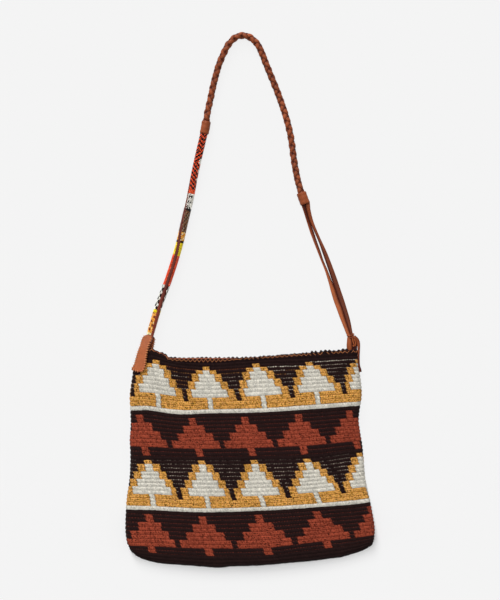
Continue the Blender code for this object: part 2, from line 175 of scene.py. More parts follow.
def slack(x, y):
    """Shallow waves of soft fabric on the front panel."""
    wave = (0.55 * np.sin(x / 27 + y / 61 + 0.6) * np.sin(y / 33 - x / 90 + 1.1)
            + 0.45 * np.sin(x / 15.5 - y / 24 + 2.0) * np.sin(y / 41 + 0.3))
    near_tab = smooth((np.hypot(x + 138, y + 66) - 35) / 40)
    return wave * near_tab


def first_stitch(v):
    """The stitch column that the left silhouette falls on: the columns lean as they go down."""
    return -8.6 - 18.7 * v + 6.4 * v**2 - 4.5 * v**3


# How far the front's stitch columns stray from even spacing, in mm: one cubic in v for each of
# three waves across the panel.
STRAY = [(-0.9, 16.7, -24.4, 7.8), (0.5, -18.2, 61.8, -53.4), (1.8, -8.1, 20.2, -13.5)]
# Places where the front is pulled aside a little: how far down and across, how far that reaches
# each way, and how far to the right in mm.
PULLS = [(0.20, 0.13, 0.035, 0.10, 3.0), (0.20, 0.42, 0.035, 0.16, 2.0),
         (0.68, 0.20, 0.040, 0.18, 2.5), (0.68, 0.50, 0.040, 0.16, 2.5),
         (0.78, 0.10, 0.050, 0.07, 3.4), (0.92, 0.11, 0.050, 0.08, -4.6),
         (0.92, 0.68, 0.060, 0.20, -3.0), (0.45, 0.75, 0.050, 0.12, -3.0)]
# How much higher than a level line some rounds lie, in mm, at these places across the panel.
SAG_PLACES = (-161.0, -133.7, -123.2, -90.6, -52.8, 13.7, 85.4, 137.6, 159.7)
SAG = [(2, (10.4, 10.4, 9.1, 2.6, 0.0, 4.3, 6.3, 8.9, 9.1)),
       (10, (7.2, 6.8, 5.7, 1.3, 0.0, 2.6, 7.6, 10.4, 10.4)),
       (14, (2.1, 3.7, 2.3, -1.3, 0.0, 1.3, 5.6, 8.9, 8.2)),
       (23, (2.0, 2.0, 1.7, 0.0, 0.0, 1.3, 4.6, 9.1, 9.8)),
       (26, (0.0, 0.0, 0.0, 0.0, 0.0, 0.7, 2.9, 8.7, 9.8)),
       (35, (2.0, 2.0, 2.0, 0.7, 0.0, 0.7, 5.0, 9.8, 11.7)),
       (40, (2.3, 2.3, 2.1, 0.7, 0.0, 2.2, 6.5, 9.8, 12.4)),
       (48, (2.0, 2.0, 2.0, 0.7, 0.0, 0.4, 7.8, 13.0, 15.6))]
RIM_LEVEL, BASE_LEVEL = -73.0, -350.1


def level(r):
    return RIM_LEVEL + (BASE_LEVEL - RIM_LEVEL) * r / ROUNDS + 1.8 * np.sin(math.pi * r / ROUNDS)


def round_y(x, r):
    """How high up the bag round r lies at x, in mm."""
    knots = [0.0, *(float(n) for n, _ in SAG), float(ROUNDS)]
    rises = [rim_y(x) - RIM_LEVEL]
    rises += [line_of(list(zip(SAG_PLACES, heights)), 0)(x) for _, heights in SAG]
    rises.append(base_y(x) - 2.8 - BASE_LEVEL)
    slopes = []
    for i in range(len(knots)):
        a, b = max(i - 1, 0), min(i + 1, len(knots) - 1)
        slopes.append((rises[b] - rises[a]) / (knots[b] - knots[a]))
    found = np.zeros(np.broadcast(x, r).shape)
    for i in range(len(knots) - 1):
        h = knots[i + 1] - knots[i]
        s = np.clip((r - knots[i]) / h, 0, 1)
        here = ((2 * s**3 - 3 * s**2 + 1) * rises[i] + (s**3 - 2 * s**2 + s) * h * slopes[i]
                + (-2 * s**3 + 3 * s**2) * rises[i + 1] + (s**3 - s**2) * h * slopes[i + 1])
        inside_span = (r >= knots[i]) & ((r < knots[i + 1]) | (i == len(knots) - 2))
        found = np.where(inside_span, here, found)
    return level(np.minimum(r, ROUNDS)) + found


def skin(u, r, inset=0.0):
    """Points of the bag's fabric at stitch u and round r, inset mm inside its outer face."""
    u, r = np.broadcast_arrays(np.asarray(u, float), np.asarray(r, float))
    v = np.clip(r / ROUNDS, 0.0, 1.0)
    f = np.mod((u - first_stitch(v)) / (STITCHES / 2), 2.0)
    front = f <= 1.0
    across = np.where(front, f, 2.0 - f)
    left_y, right_y = round_y(SIDE_LEFT[-1][0], r), round_y(SIDE_RIGHT[-1][0], r)
    # The corner under the tab is drawn in, and the stitches at the right fold stand out.
    left = left_x(left_y) + 3.2 * smooth((left_y + 80) / 19) + inset
    right = right_x(right_y) + 1.3 * smooth((right_y + 328) / 14) - inset
    wide = right - left
    radius = EDGE_RADIUS - inset
    spare = radius * (math.pi / 2 - 1)
    around = across * (wide + 2 * spare)
    half_way = (wide + 2 * spare) / 2

    def turned(s):
        return np.where(s < radius * math.pi / 2,
                        radius * (1 - np.cos(np.clip(s / radius, 0, math.pi / 2))), s - spare)

    x = left + np.where(around < half_way, turned(around), wide - turned(2 * half_way - around))
    for k, terms in enumerate(STRAY):
        size = sum(c * v**n for n, c in enumerate(terms))
        x = x + np.where(front, size * np.sin((k + 1) * math.pi * across), 0.0)
    inner = smooth(across / 0.06) * smooth((1 - across) / 0.06)
    for down, over, deep, broad, far in PULLS:
        x = x + np.where(front, far * inner * np.exp(-((v - down) / deep) ** 2
                                                     - ((across - over) / broad) ** 2), 0.0)
    x = np.clip(x, left, right)
    low = base_y(x) + inset
    # The last rounds go round the fold at the base, and past round 54 they are under it.
    rest = round_y(x, r) - low + spare
    y = low + turned(np.maximum(rest, 0.0))
    side = np.clip(1 - np.minimum(x - left, right - x) / radius, 0, 1)
    foot = np.clip(1 - (y - low) / radius, 0, 1)
    half = radius * np.sqrt(1 - side**2) * np.sqrt(1 - foot**2)
    a = np.clip((x - left) / wide, 0, 1)
    middle = EDGE_RADIUS + corner_lift(x, y)
    high = middle + half + (crown(a, v) + slack(x, y)) * half / radius
    return np.stack([x, y, np.where(front, high, middle - half)], -1)


def outward(points):
    """Unit normals of a grid of points [row, column], rows going down the bag."""
    down = np.gradient(points, axis=0)
    across = np.gradient(points, axis=1)
    found = np.cross(down, across)
    size = np.linalg.norm(found, axis=-1, keepdims=True)
    return found / np.maximum(size, 1e-9)


DARK, RUST, GOLD, WHITE = 0, 1, 2, 3


def yarn_at(u, r):
    """The yarn of the stitch in column u of round r: bands of stepped trees."""
    u, r = np.broadcast_arrays(np.asarray(u, int), np.asarray(r, int))
    found = np.full(u.shape, DARK)

    def column(axis):
        return np.mod(u - axis + 11, REPEAT) - 11

    def white_band(first, axis, rows, right_gold, bar):
        """Stepped white trees edged with gold, over a gold bar and a white line."""
        c, n = column(axis), r - first
        cap, body, last = rows
        for low, high, white, gold in [(0, 1, -1, 1), (1, cap, 1, 4), (cap, cap + 2, 3, 6),
                                       (cap + 2, cap + 4, 5, 8)]:
            here = (n >= low) & (n < high)
            found[here & (np.abs(c) <= gold)] = GOLD
            found[here & (np.abs(c) <= white)] = WHITE
        here = (n >= cap + 4) & (n < cap + 6)
        found[here & (c >= -10 + (1 if right_gold == 10 else 0)) & (c <= right_gold)] = GOLD
        found[here & (np.abs(c) <= 7)] = WHITE
        here = (n >= cap + 6) & (n < bar)
        gap = (c <= -10 + (0 if right_gold == 10 else -1)) | (c > right_gold)
        found[here & ~((n == cap + 6) & gap)] = GOLD
        found[here & ((c == -1) | (c == 0))] = WHITE
        found[n == bar] = WHITE

    def rust_band(first, axis):
        c, n = column(axis), r - first
        for low, left, right in [(0, -1, 1), (2, -4, 4), (4, -7, 7), (6, -10, 9), (8, -1, 1)]:
            found[(n >= low) & (n < low + 2) & (c >= left) & (c <= right)] = RUST

    white_band(2, 0, (2, 0, 0), 10, 11)
    rust_band(15, -9)
    white_band(26, -9, (3, 0, 0), 9, 12)
    rust_band(40, -12)
    return found


def linear(hex_colour):
    """An sRGB colour as linear numbers."""
    parts = [int(hex_colour[i:i + 2], 16) / 255 for i in (1, 3, 5)]
    return tuple(c / 12.92 if c <= 0.04045 else ((c + 0.055) / 1.055) ** 2.4 for c in parts)


YARNS = np.array([linear("#221312"), linear("#a24832"), linear("#e7a858"), linear("#d9d4c7")])
# Painted shade in the hollows between stitches: how dark it makes each yarn.
HOLLOW_SHADE = np.array([0.42, 0.50, 0.52, 0.74])     # how dark each yarn gets between its stitches


# ---------------------------------------------------------------- making meshes
def make(name, points, faces, look, colours=None, corners=None, numbers=None, uv=None,
         smooth_shaded=True):
    """A mesh piece from points in mm. colours are by point, corners by face corner, numbers are
    named lists by point, and uv is by point."""
    mesh = bpy.data.meshes.new(name)
    points = np.asarray(points, float) - (0.0, OUTLINE_MIDDLE, 0.0)
    points[:, 2] = np.maximum(points[:, 2], 0.02)     # what lies on the floor is flat there
    mesh.from_pydata(points * MM, [], faces)
    if colours is not None:
        colours = np.concatenate([colours, np.ones((len(colours), 4 - colours.shape[1]))], 1)
        mesh.attributes.new("paint", "FLOAT_COLOR", "POINT").data.foreach_set(
            "color", colours.astype(np.float32).ravel())
    for key, values in (corners or {}).items():
        mesh.attributes.new(key, "FLOAT_COLOR", "CORNER").data.foreach_set(
            "color", np.asarray(values, np.float32).ravel())
    for key, values in (numbers or {}).items():
        mesh.attributes.new(key, "FLOAT", "POINT").data.foreach_set(
            "value", np.asarray(values, np.float32).ravel())
    if uv is not None:
        layer = mesh.uv_layers.new(name="stitches")
        index = np.empty(len(mesh.loops), np.int32)
        mesh.loops.foreach_get("vertex_index", index)
        layer.data.foreach_set("uv", np.asarray(uv, np.float32)[index].ravel())
    mesh.materials.append(look)
    if smooth_shaded:
        mesh.shade_smooth()
    mesh.update()
    piece = bpy.data.objects.new(name, mesh)
    bpy.context.scene.collection.objects.link(piece)
    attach(piece, "root")
    return piece


def grid_faces(rows, columns, around=False):
    """Quads of a grid of points [rows, columns], closed round its columns if around."""
    i = np.arange(columns if around else columns - 1)
    j = np.arange(rows - 1)[:, None]
    k = (i + 1) % columns
    return np.stack([j * columns + i, (j + 1) * columns + i, (j + 1) * columns + k,
                     j * columns + k], -1).reshape(-1, 4)


class Heap:
    """Points and faces of several shapes that become one mesh."""

    def __init__(self):
        self.points, self.faces, self.paint, self.depth, self.count = [], [], [], [], 0

    def add(self, points, faces, paint=None, depth=0.0):
        points = np.asarray(points, float).reshape(-1, 3)
        self.points.append(points)
        for group in faces:
            self.faces += (np.asarray(group) + self.count).tolist()
        paint = (1.0, 1.0, 1.0) if paint is None else paint
        self.paint.append(np.broadcast_to(np.asarray(paint, float), (len(points), 3)))
        self.depth.append(np.broadcast_to(np.asarray(depth, float), (len(points),)))
        self.count += len(points)

    def make(self, name, look, slot):
        return make(name, np.concatenate(self.points), self.faces, look,
                    colours=np.concatenate(self.paint),
                    numbers={"depth": np.concatenate(self.depth)})


def route(points, step):
    """Points about step apart on one smooth curve through the route's points (any dimension)."""
    given = np.array(points, float)
    last = len(given) - 1
    t = np.arange(16)[:, None] / 16
    fine = []
    for i in range(last):
        a, b = given[max(i - 1, 0)], given[i]
        c, d = given[i + 1], given[min(i + 2, last)]
        fine.append(0.5 * (2 * b + (c - a) * t + (2 * a - 5 * b + 4 * c - d) * t * t
                           + (3 * b - a - 3 * c + d) * t**3))
    fine = np.concatenate(fine + [given[-1:]])
    along = np.concatenate([[0.0], np.cumsum(np.linalg.norm(np.diff(fine[:, :3], axis=0),
                                                            axis=1))])
    count = max(2, round(along[-1] / step))
    s = np.linspace(0, along[-1], count + 1)
    return np.stack([np.interp(s, along, fine[:, k]) for k in range(fine.shape[1])], 1), along[-1]


def unit(vectors):
    return vectors / np.maximum(np.linalg.norm(vectors, axis=-1, keepdims=True), 1e-12)


def frames(points, twist=0.0, carried=False):
    """(ahead, side, up) along a path. carried keeps the side steady where the path stands up."""
    ahead = unit(np.gradient(points, axis=0))
    if carried:
        side = np.empty_like(ahead)
        first = np.cross(ahead[0], (0.0, 0.0, 1.0))
        if np.linalg.norm(first) < 0.2:
            first = np.cross(ahead[0], (0.0, 1.0, 0.0))
        side[0] = unit(first)
        for i in range(1, len(points)):
            moved = side[i - 1] - ahead[i] * np.dot(side[i - 1], ahead[i])
            side[i] = unit(moved)
    else:
        side = unit(np.cross(ahead, (0.0, 0.0, 1.0)))
    up = np.cross(side, ahead)
    twist = np.broadcast_to(np.asarray(twist, float), (len(points),))[:, None]
    return ahead, side * np.cos(twist) + up * np.sin(twist), up * np.cos(twist) - side * np.sin(twist)


def ring(count, square=2.0):
    """Points round a unit superellipse: square 2 is a circle, and more is squarer."""
    t = np.arange(count) / count * 2 * math.pi
    c, s = np.cos(t), np.sin(t)
    return np.stack([np.sign(c) * np.abs(c) ** (2 / square), np.sign(s) * np.abs(s) ** (2 / square)], 1)


def swept(points, half_wide, half_thick, count=12, square=2.0, twist=0.0, carried=False,
          domed=(True, True), crowned=0.0):
    """A cord or thong along a path: (points, faces, ring number of each point)."""
    ahead, side, up = frames(points, twist, carried)
    n = len(points)
    wide = np.broadcast_to(np.asarray(half_wide, float), (n,)).copy()
    thick = np.broadcast_to(np.asarray(half_thick, float), (n,)).copy()
    centre, scale, index = list(points), [1.0] * n, list(range(n))
    end = min(float(thick[0]), float(wide[0]))
    if domed[0]:
        for q in (0.45, 0.8, 0.97):
            centre.insert(0, points[0] - ahead[0] * end * q)
            scale.insert(0, math.sqrt(1 - q * q))
            index.insert(0, 0)
    end = min(float(thick[-1]), float(wide[-1]))
    if domed[1]:
        for q in (0.45, 0.8, 0.97):
            centre.append(points[-1] + ahead[-1] * end * q)
            scale.append(math.sqrt(1 - q * q))
            index.append(n - 1)
    centre, scale, index = np.array(centre), np.array(scale)[:, None, None], np.array(index)
    shape = ring(count, square)
    wide, thick = wide[index][:, None], thick[index][:, None]
    flat = shape[None, :, 0] * wide
    high = shape[None, :, 1] * thick + crowned * (1 - shape[None, :, 0] ** 2) * thick
    made = centre[:, None] + scale * (flat[..., None] * side[index][:, None]
                                      + high[..., None] * up[index][:, None])
    rows = len(centre)
    first, final = made[0].mean(0), made[-1].mean(0)
    body = made.reshape(-1, 3)
    faces = grid_faces(rows, count, around=True)
    k = np.arange(count)
    caps = np.concatenate([
        np.stack([np.full(count, rows * count), k, (k + 1) % count], 1),
        np.stack([np.full(count, rows * count + 1), (rows - 1) * count + (k + 1) % count,
                  (rows - 1) * count + k], 1)])
    return (np.concatenate([body, [first, final]]), [faces, caps],
            np.concatenate([np.repeat(index, count), [0, n - 1]]))


# ---------------------------------------------------------------- materials
class Look:
    """A material's node tree, with short calls to build it."""

    def __init__(self, name, roughness, bump=0.3, bump_deep=0.0002):
        self.material = bpy.data.materials.new(name)
        self.material.use_nodes = True
        self.tree = self.material.node_tree
        self.shader = self.tree.nodes["Principled BSDF"]
        self.shader.inputs["Roughness"].default_value = roughness
        self.place = self.tree.nodes.new("ShaderNodeTexCoord").outputs["Object"]

    def set(self, socket, value):
        if isinstance(value, bpy.types.NodeSocket):
            self.tree.links.new(value, socket)
        else:
            socket.default_value = value

    def math(self, operation, *values, clamp=False):
        made = self.tree.nodes.new("ShaderNodeMath")
        made.operation, made.use_clamp = operation, clamp
        for socket, value in zip(made.inputs, values):
            self.set(socket, value)
        return made.outputs[0]

    def ramp(self, value, low, high, to_low=0.0, to_high=1.0):
        made = self.tree.nodes.new("ShaderNodeMapRange")
        made.interpolation_type = "SMOOTHSTEP"
        for key, given in (("Value", value), ("From Min", low), ("From Max", high),
                           ("To Min", to_low), ("To Max", to_high)):
            self.set(made.inputs[key], given)
        return made.outputs["Result"]

    def noise(self, scale, detail=2.0, place=None, rough=0.5):
        made = self.tree.nodes.new("ShaderNodeTexNoise")
        self.set(made.inputs["Vector"], self.place if place is None else place)
        made.inputs["Scale"].default_value = scale
        made.inputs["Detail"].default_value = detail
        made.inputs["Roughness"].default_value = rough
        return made.outputs["Fac"]

    def cells(self, scale, feature="DISTANCE_TO_EDGE"):
        made = self.tree.nodes.new("ShaderNodeTexVoronoi")
        made.feature = feature
        self.set(made.inputs["Vector"], self.place)
        made.inputs["Scale"].default_value = scale
        return made.outputs["Distance"]

    def mix(self, amount, first, second, kind="MIX"):
        made = self.tree.nodes.new("ShaderNodeMix")
        made.data_type, made.blend_type = "RGBA", kind
        for socket, value in ((made.inputs[0], amount), (made.inputs[6], first),
                              (made.inputs[7], second)):
            if isinstance(value, tuple) and len(value) == 3:
                value = (*value, 1.0)
            self.set(socket, value)
        return made.outputs[2]

    def shade(self, colour, amount):
        """colour times a grey number."""
        made = self.tree.nodes.new("ShaderNodeVectorMath")
        made.operation = "SCALE"
        self.set(made.inputs[0], colour[:3] if isinstance(colour, tuple) else colour)
        self.set(made.inputs["Scale"], amount)
        return made.outputs[0]

    def attribute(self, name):
        made = self.tree.nodes.new("ShaderNodeAttribute")
        made.attribute_name = name
        return made

    def bump(self, height, strength, distance):
        made = self.tree.nodes.new("ShaderNodeBump")
        self.set(made.inputs["Height"], height)
        made.inputs["Strength"].default_value = strength
        made.inputs["Distance"].default_value = distance
        self.set(self.shader.inputs["Normal"], made.outputs["Normal"])

    def done(self, colour, roughness=None):
        self.set(self.shader.inputs["Base Color"], colour)
        if roughness is not None:
            self.set(self.shader.inputs["Roughness"], roughness)
        return self.material


def yarn_look():
    """Cotton yarn: the stitch's own colour with painted shade in the hollows, and between rounds
    the carried yarn on the dark ground and painted shade in the groove on rust, gold and white."""
    look = Look("cotton_yarn", 0.9)
    own, carried_yarn_and_groove_shade, relief = (look.attribute(n) for n in ("yarn", "carried_yarn_and_groove_shade", "relief"))
    uv = look.tree.nodes.new("ShaderNodeUVMap")
    uv.uv_map = "stitches"
    parts = look.tree.nodes.new("ShaderNodeSeparateXYZ")
    look.set(parts.inputs[0], uv.outputs[0])
    u, r = parts.outputs[0], parts.outputs[1]
    fibre = look.noise(1700.0, 3.0, rough=0.65)
    patch = look.noise(330.0, 2.0)
    broad = look.noise(26.0, 2.0)
    # Two plies a stitch, leaning as the stitch's legs do, painted faintly lighter and darker as their lit
    # and shaded sides.
    lean = look.math("ADD", look.math("MULTIPLY", u, 2.0), look.math("MULTIPLY", r, 1.0))
    ply = look.math("SINE", look.math("MULTIPLY", lean, 2 * math.pi))
    # Painted shade in the hollows between stitches, set by the relief.
    hollow = look.ramp(relief.outputs["Fac"], 0.0, 0.85, own.outputs["Alpha"], 1.0)
    light = look.math("MULTIPLY", hollow, look.ramp(fibre, 0.25, 0.75, 0.84, 1.12))
    light = look.math("MULTIPLY", light, look.ramp(patch, 0.3, 0.7, 0.90, 1.08))
    light = look.math("MULTIPLY", light, look.ramp(broad, 0.3, 0.7, 0.96, 1.03))
    light = look.math("MULTIPLY", light, look.ramp(ply, -1.0, 1.0, 0.94, 1.05))
    colour = look.shade(own.outputs["Color"], light)
    # Between rounds shows the carried yarn, and on rust, gold and white stitches painted shade in the
    # groove.
    # Distance from the line between two rounds, made uneven.
    shifted = look.math("ADD", r, look.math("MULTIPLY", look.math("SUBTRACT", patch, 0.5), 0.16))
    edge = look.math("ABSOLUTE", look.math("SUBTRACT", look.math("FRACT", look.math(
        "ADD", shifted, 0.5)), 0.5))
    middle = look.math("ABSOLUTE", look.math("SUBTRACT", look.math("FRACT", u), 0.5))
    amount = look.math("MULTIPLY", look.ramp(edge, 0.04, 0.14, 1.0, 0.0),
                       look.ramp(middle, 0.17, 0.36, 1.0, 0.10))
    amount = look.math("MULTIPLY", amount, carried_yarn_and_groove_shade.outputs["Alpha"], clamp=True)
    colour = look.mix(amount, colour, carried_yarn_and_groove_shade.outputs["Color"])
    height = look.math("ADD", look.math("MULTIPLY", fibre, 0.8), look.math("MULTIPLY", ply, 0.35))
    look.bump(height, 0.55, 0.0004)
    look.shader.inputs["Sheen Weight"].default_value = 0.02
    look.shader.inputs["Sheen Roughness"].default_value = 0.6
    look.shader.inputs["Specular IOR Level"].default_value = 0.06
    return look.done(colour)


def leather_look(name, base, dark, roughness, grain=900.0, mottle=60.0, edge_darkening=None):
    """Leather: mottled colour, pores and fine creases, scaled by its paint numbers and darker where depth
    says so; on the strap's pieces these carry painted highlights and painted shade.
    """
    look = Look(name, roughness)
    depth = look.attribute("depth").outputs["Fac"]
    paint = look.attribute("paint").outputs["Color"]
    cloud = look.noise(mottle, 4.0, rough=0.6)
    fine = look.noise(1300.0, 3.0, rough=0.6)
    pores = look.cells(grain)
    light = look.math("MULTIPLY", look.ramp(cloud, 0.3, 0.7, 0.86, 1.12),
                      look.ramp(fine, 0.3, 0.7, 0.93, 1.06))
    light = look.math("MULTIPLY", light, look.ramp(pores, 0.0, 0.10, 0.86, 1.0))
    colour = look.shade(look.mix(1.0, base, paint, "MULTIPLY"), light)
    # Painted shade on the strap's pieces, by depth.
    colour = look.mix(look.math("MULTIPLY", depth, 1.0, clamp=True), colour, dark)
    look.bump(look.math("ADD", look.ramp(pores, 0.0, 0.16), look.math("MULTIPLY", fine, 0.5)),
              0.22, 0.0002)
    rough = look.ramp(cloud, 0.3, 0.7, roughness - 0.07, roughness + 0.08)
    look.shader.inputs["Specular IOR Level"].default_value = 0.16
    return look.done(colour, rough)


def thread_look(name, base):
    """Waxed sewing thread."""
    look = Look(name, 0.6)
    fibre = look.noise(2600.0, 2.0)
    twist = look.noise(900.0, 1.0)
    light = look.math("MULTIPLY", look.ramp(fibre, 0.3, 0.7, 0.82, 1.12),
                      look.ramp(twist, 0.35, 0.65, 0.85, 1.1))
    look.bump(fibre, 0.4, 0.0002)
    return look.done(look.shade((*base, 1.0), light))


def bead_look():
    """Opaque glass seed beads."""
    look = Look("seed_beads", 0.26)
    cloud = look.noise(420.0, 2.0)
    colour = look.shade(look.attribute("paint").outputs["Color"],
                        look.ramp(cloud, 0.3, 0.7, 0.88, 1.1))
    look.bump(look.noise(1500.0, 1.0), 0.08, 0.0001)
    look.shader.inputs["Specular IOR Level"].default_value = 0.28
    look.shader.inputs["Coat Weight"].default_value = 0.10
    look.shader.inputs["Coat Roughness"].default_value = 0.1
    return look.done(colour, look.ramp(cloud, 0.3, 0.7, 0.18, 0.32))


YARN = yarn_look()
TAB_LEATHER = leather_look("tab_leather", linear("#ab5f3a"), linear("#5a2718"), 0.6, mottle=90.0)
STRAP_LEATHER = leather_look("strap_leather", linear("#924a29"), linear("#3c110b"), 0.54)
LACE_LEATHER = leather_look("lace_leather", linear("#642e26"), linear("#2c100f"), 0.45)
THREAD = thread_look("waxed_thread", linear("#bb6f3a"))
TAB_THREAD = thread_look("tab_thread", linear("#c97d49"))
BEADS = bead_look()
FACING_LEATHER = leather_look("facing_leather", linear("#96533a"), linear("#5a2a20"), 0.7)


# ---------------------------------------------------------------- the crocheted body
QUARTER = 4              # faces to a stitch, each way


def relief_at(u4, r4):
    """How far the fabric sinks from its outer face at a quarter of a stitch, in mm."""
    down = np.array([0.80, 0.12, 0.0, 0.18])[np.mod(r4, QUARTER)]
    across = np.array([0.20, 0.04, 0.10, 0.0])[np.mod(u4, QUARTER)]
    uneven = noise(u4 // QUARTER, r4 // QUARTER, 3) - 0.5
    full = np.mod(r4, QUARTER) != 0
    return down + across + 0.28 * uneven * full


def fabric(name, first, last):
    """The fabric's outer face from stitch column first to last, from the rim to the fold."""
    columns = (last - first) * QUARTER + 1
    rows = ROUNDS * QUARTER + 1
    u4 = np.arange(columns)[None, :] + first * QUARTER
    r4 = np.arange(rows)[:, None]
    u, r = np.broadcast_arrays(u4 / QUARTER, r4 / QUARTER)
    # A stitch's legs lean inside its round, and no two stitches are quite alike.
    leaning = u - 0.17 * np.sin(2 * math.pi * r)
    leaning = leaning + 0.10 * (noise(u4 // QUARTER, r4 // QUARTER, 1) - 0.5) * (u4 % QUARTER != 0)
    wander = r + 0.07 * (noise(u4 // QUARTER, (r4 + 2) // QUARTER, 2) - 0.5) * (r4 > 2) * (
        r4 < ROUNDS * QUARTER - 2)
    flat = skin(u, r)
    places = skin(leaning, wander)
    sink = relief_at(u4, r4)
    places = places - outward(flat) * np.broadcast_to(sink, u.shape)[..., None]

    cell_u, cell_r = np.broadcast_arrays(
        (np.arange(columns - 1)[None, :] + first * QUARTER) // QUARTER,
        np.arange(rows - 1)[:, None] // QUARTER)
    kind = yarn_at(cell_u, cell_r)
    tone = 0.90 + 0.20 * noise(cell_u, cell_r, 5)
    # Fibres, shadows between a stitch's legs, and the odd darker speck.
    across4, down4 = np.broadcast_arrays(np.arange(columns - 1)[None, :] + first * QUARTER,
                                         np.arange(rows - 1)[:, None])
    speck = np.array([0.40, 0.92, 0.98, 0.50])[kind] * noise(across4, down4, 9) ** 3
    hatch = np.array([0.0, 0.05, 0.03, 0.06])[kind] * (across4 % QUARTER == 3)
    split = np.array([0.0, 0.18, 0.26, 0.07])[kind] * (down4 % QUARTER == 1)
    tone = tone * (1 - speck - hatch - split)
    # Where two yarns meet in a round, the one behind throws a shadow.
    meets = ((across4 % QUARTER == 3) & (yarn_at(cell_u + 1, cell_r) != kind)
             | (across4 % QUARTER == 0) & (yarn_at(cell_u - 1, cell_r) != kind))
    tone = tone * np.where(meets & (kind != DARK), 0.66, 1.0)
    own = YARNS[kind] * tone[..., None]
    own[..., 2] *= np.where((kind == GOLD) & (speck > 0.2), 0.55, 1.0)
    # Each ground has its own carried yarns, which show as short dashes between rounds.
    line = cell_r + (down4 % QUARTER >= QUARTER / 2)     # the line between rounds that a face is by
    white_rows = ((line >= 3) & (cell_r <= 13)) | ((cell_r >= 26) & (cell_r <= 38))
    # It starts at the second line on the right, in clear dots, and at the third on the left.
    to_right = cell_u > 66
    first_line = (line == 2) & to_right | (line == 3) & (cell_u > 48) & ~to_right
    dull_line = (line == 3) & (cell_u <= 48)
    faint = np.where(line == 26, 0.3, np.where(line == 27, 0.5, 1.0))
    rust_rows = ((cell_r >= 15) & (cell_r <= 24)) | ((cell_r >= 40) & (cell_r <= 49))
    between_trees = ((cell_r >= 10) & (cell_r <= 13)) | ((cell_r >= 34) & (cell_r <= 38))
    by_chance = noise(cell_u, cell_r, 7)
    # The yarn carried along a round is gold for a while, then off-white.
    carried_gold = noise(cell_u // 7, line, 8) < np.where(to_right | (line > 20), 0.0, 0.20)
    carried_yarn_and_groove_shade = np.zeros((*kind.shape, 4))
    for where, colour, amount in [
            (white_rows & (kind == DARK) & ~between_trees & carried_gold, linear("#8f6038"),
             np.clip(1.2 * by_chance - 0.10, 0, 1) * faint),
            (white_rows & (kind == DARK) & ~between_trees & ~carried_gold, linear("#c9b7a5"),
             np.clip(1.10 * by_chance - 0.25, 0, 0.75) * faint),
            (dull_line & (kind == DARK), linear("#85482c"), 0.15 + 0.60 * by_chance),
            (first_line & (kind == DARK), linear("#e0d5c2"), np.where(by_chance > 0.30, 0.95, 0.12)),
            (rust_rows & (kind == DARK), linear("#76352a"), 0.12 + 0.58 * by_chance),
            # On rust, gold and white stitches the dashes between rounds are painted shade in the groove.
            (kind == RUST, linear("#451210"), 0.45 + 0.55 * by_chance),
            (kind == GOLD, linear("#7c4019"), 0.40 + 0.60 * by_chance),
            (kind == WHITE, linear("#8f8c84"), 0.10 + 0.6 * by_chance)]:
        carried_yarn_and_groove_shade[where] = np.concatenate([np.broadcast_to(colour, (*kind.shape, 3)),
                                      np.broadcast_to(amount, kind.shape)[..., None]], -1)[where]
    # Each yarn's strength of painted shade, and how deep each point sinks, which sets the painted shade in
    # the hollows.
    own = np.concatenate([own, HOLLOW_SHADE[kind][..., None]], -1)
    depth = np.broadcast_to(1 - sink / 1.3, u.shape)
    return make(name, places.reshape(-1, 3), grid_faces(rows, columns).tolist(), YARN,
                corners={"yarn": np.repeat(own.reshape(-1, 4), 4, 0),
                         "carried_yarn_and_groove_shade": np.repeat(carried_yarn_and_groove_shade.reshape(-1, 4), 4, 0)},
                numbers={"relief": depth.ravel()},
                uv=np.stack([u, r], -1).reshape(-1, 2))


FRONT_FIRST, FRONT_LAST = -24, 89
front = fabric("crochet_front", FRONT_FIRST, FRONT_LAST)
rear = fabric("crochet_rear", FRONT_LAST, FRONT_FIRST + STITCHES)
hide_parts("crochet_body")


def front_share(u):
    """(x, whether on the front) of stitch u at the rim."""
    x = skin(u, 0.0)[..., 0]
    return x, np.mod((u - first_stitch(0.0)) / (STITCHES / 2), 2.0) <= 1.0


def bumps(u):
    """How far the rim's edging bumps stand above the rim at stitch u, in mm."""
    x, on_front = front_share(u)
    tall = np.where(on_front, 0.15 + 1.9 * smooth((x + 42) / 60) + 1.5 * smooth((x - 60) / 30), 1.8)
    bump = np.clip(np.abs(np.sin(math.pi * u / 2)) * 1.25 - 0.25, 0, 1) ** 0.8
    uneven = 0.55 + 0.75 * noise(np.floor((u + 1) / 2).astype(int), 11)
    return tall * bump * uneven


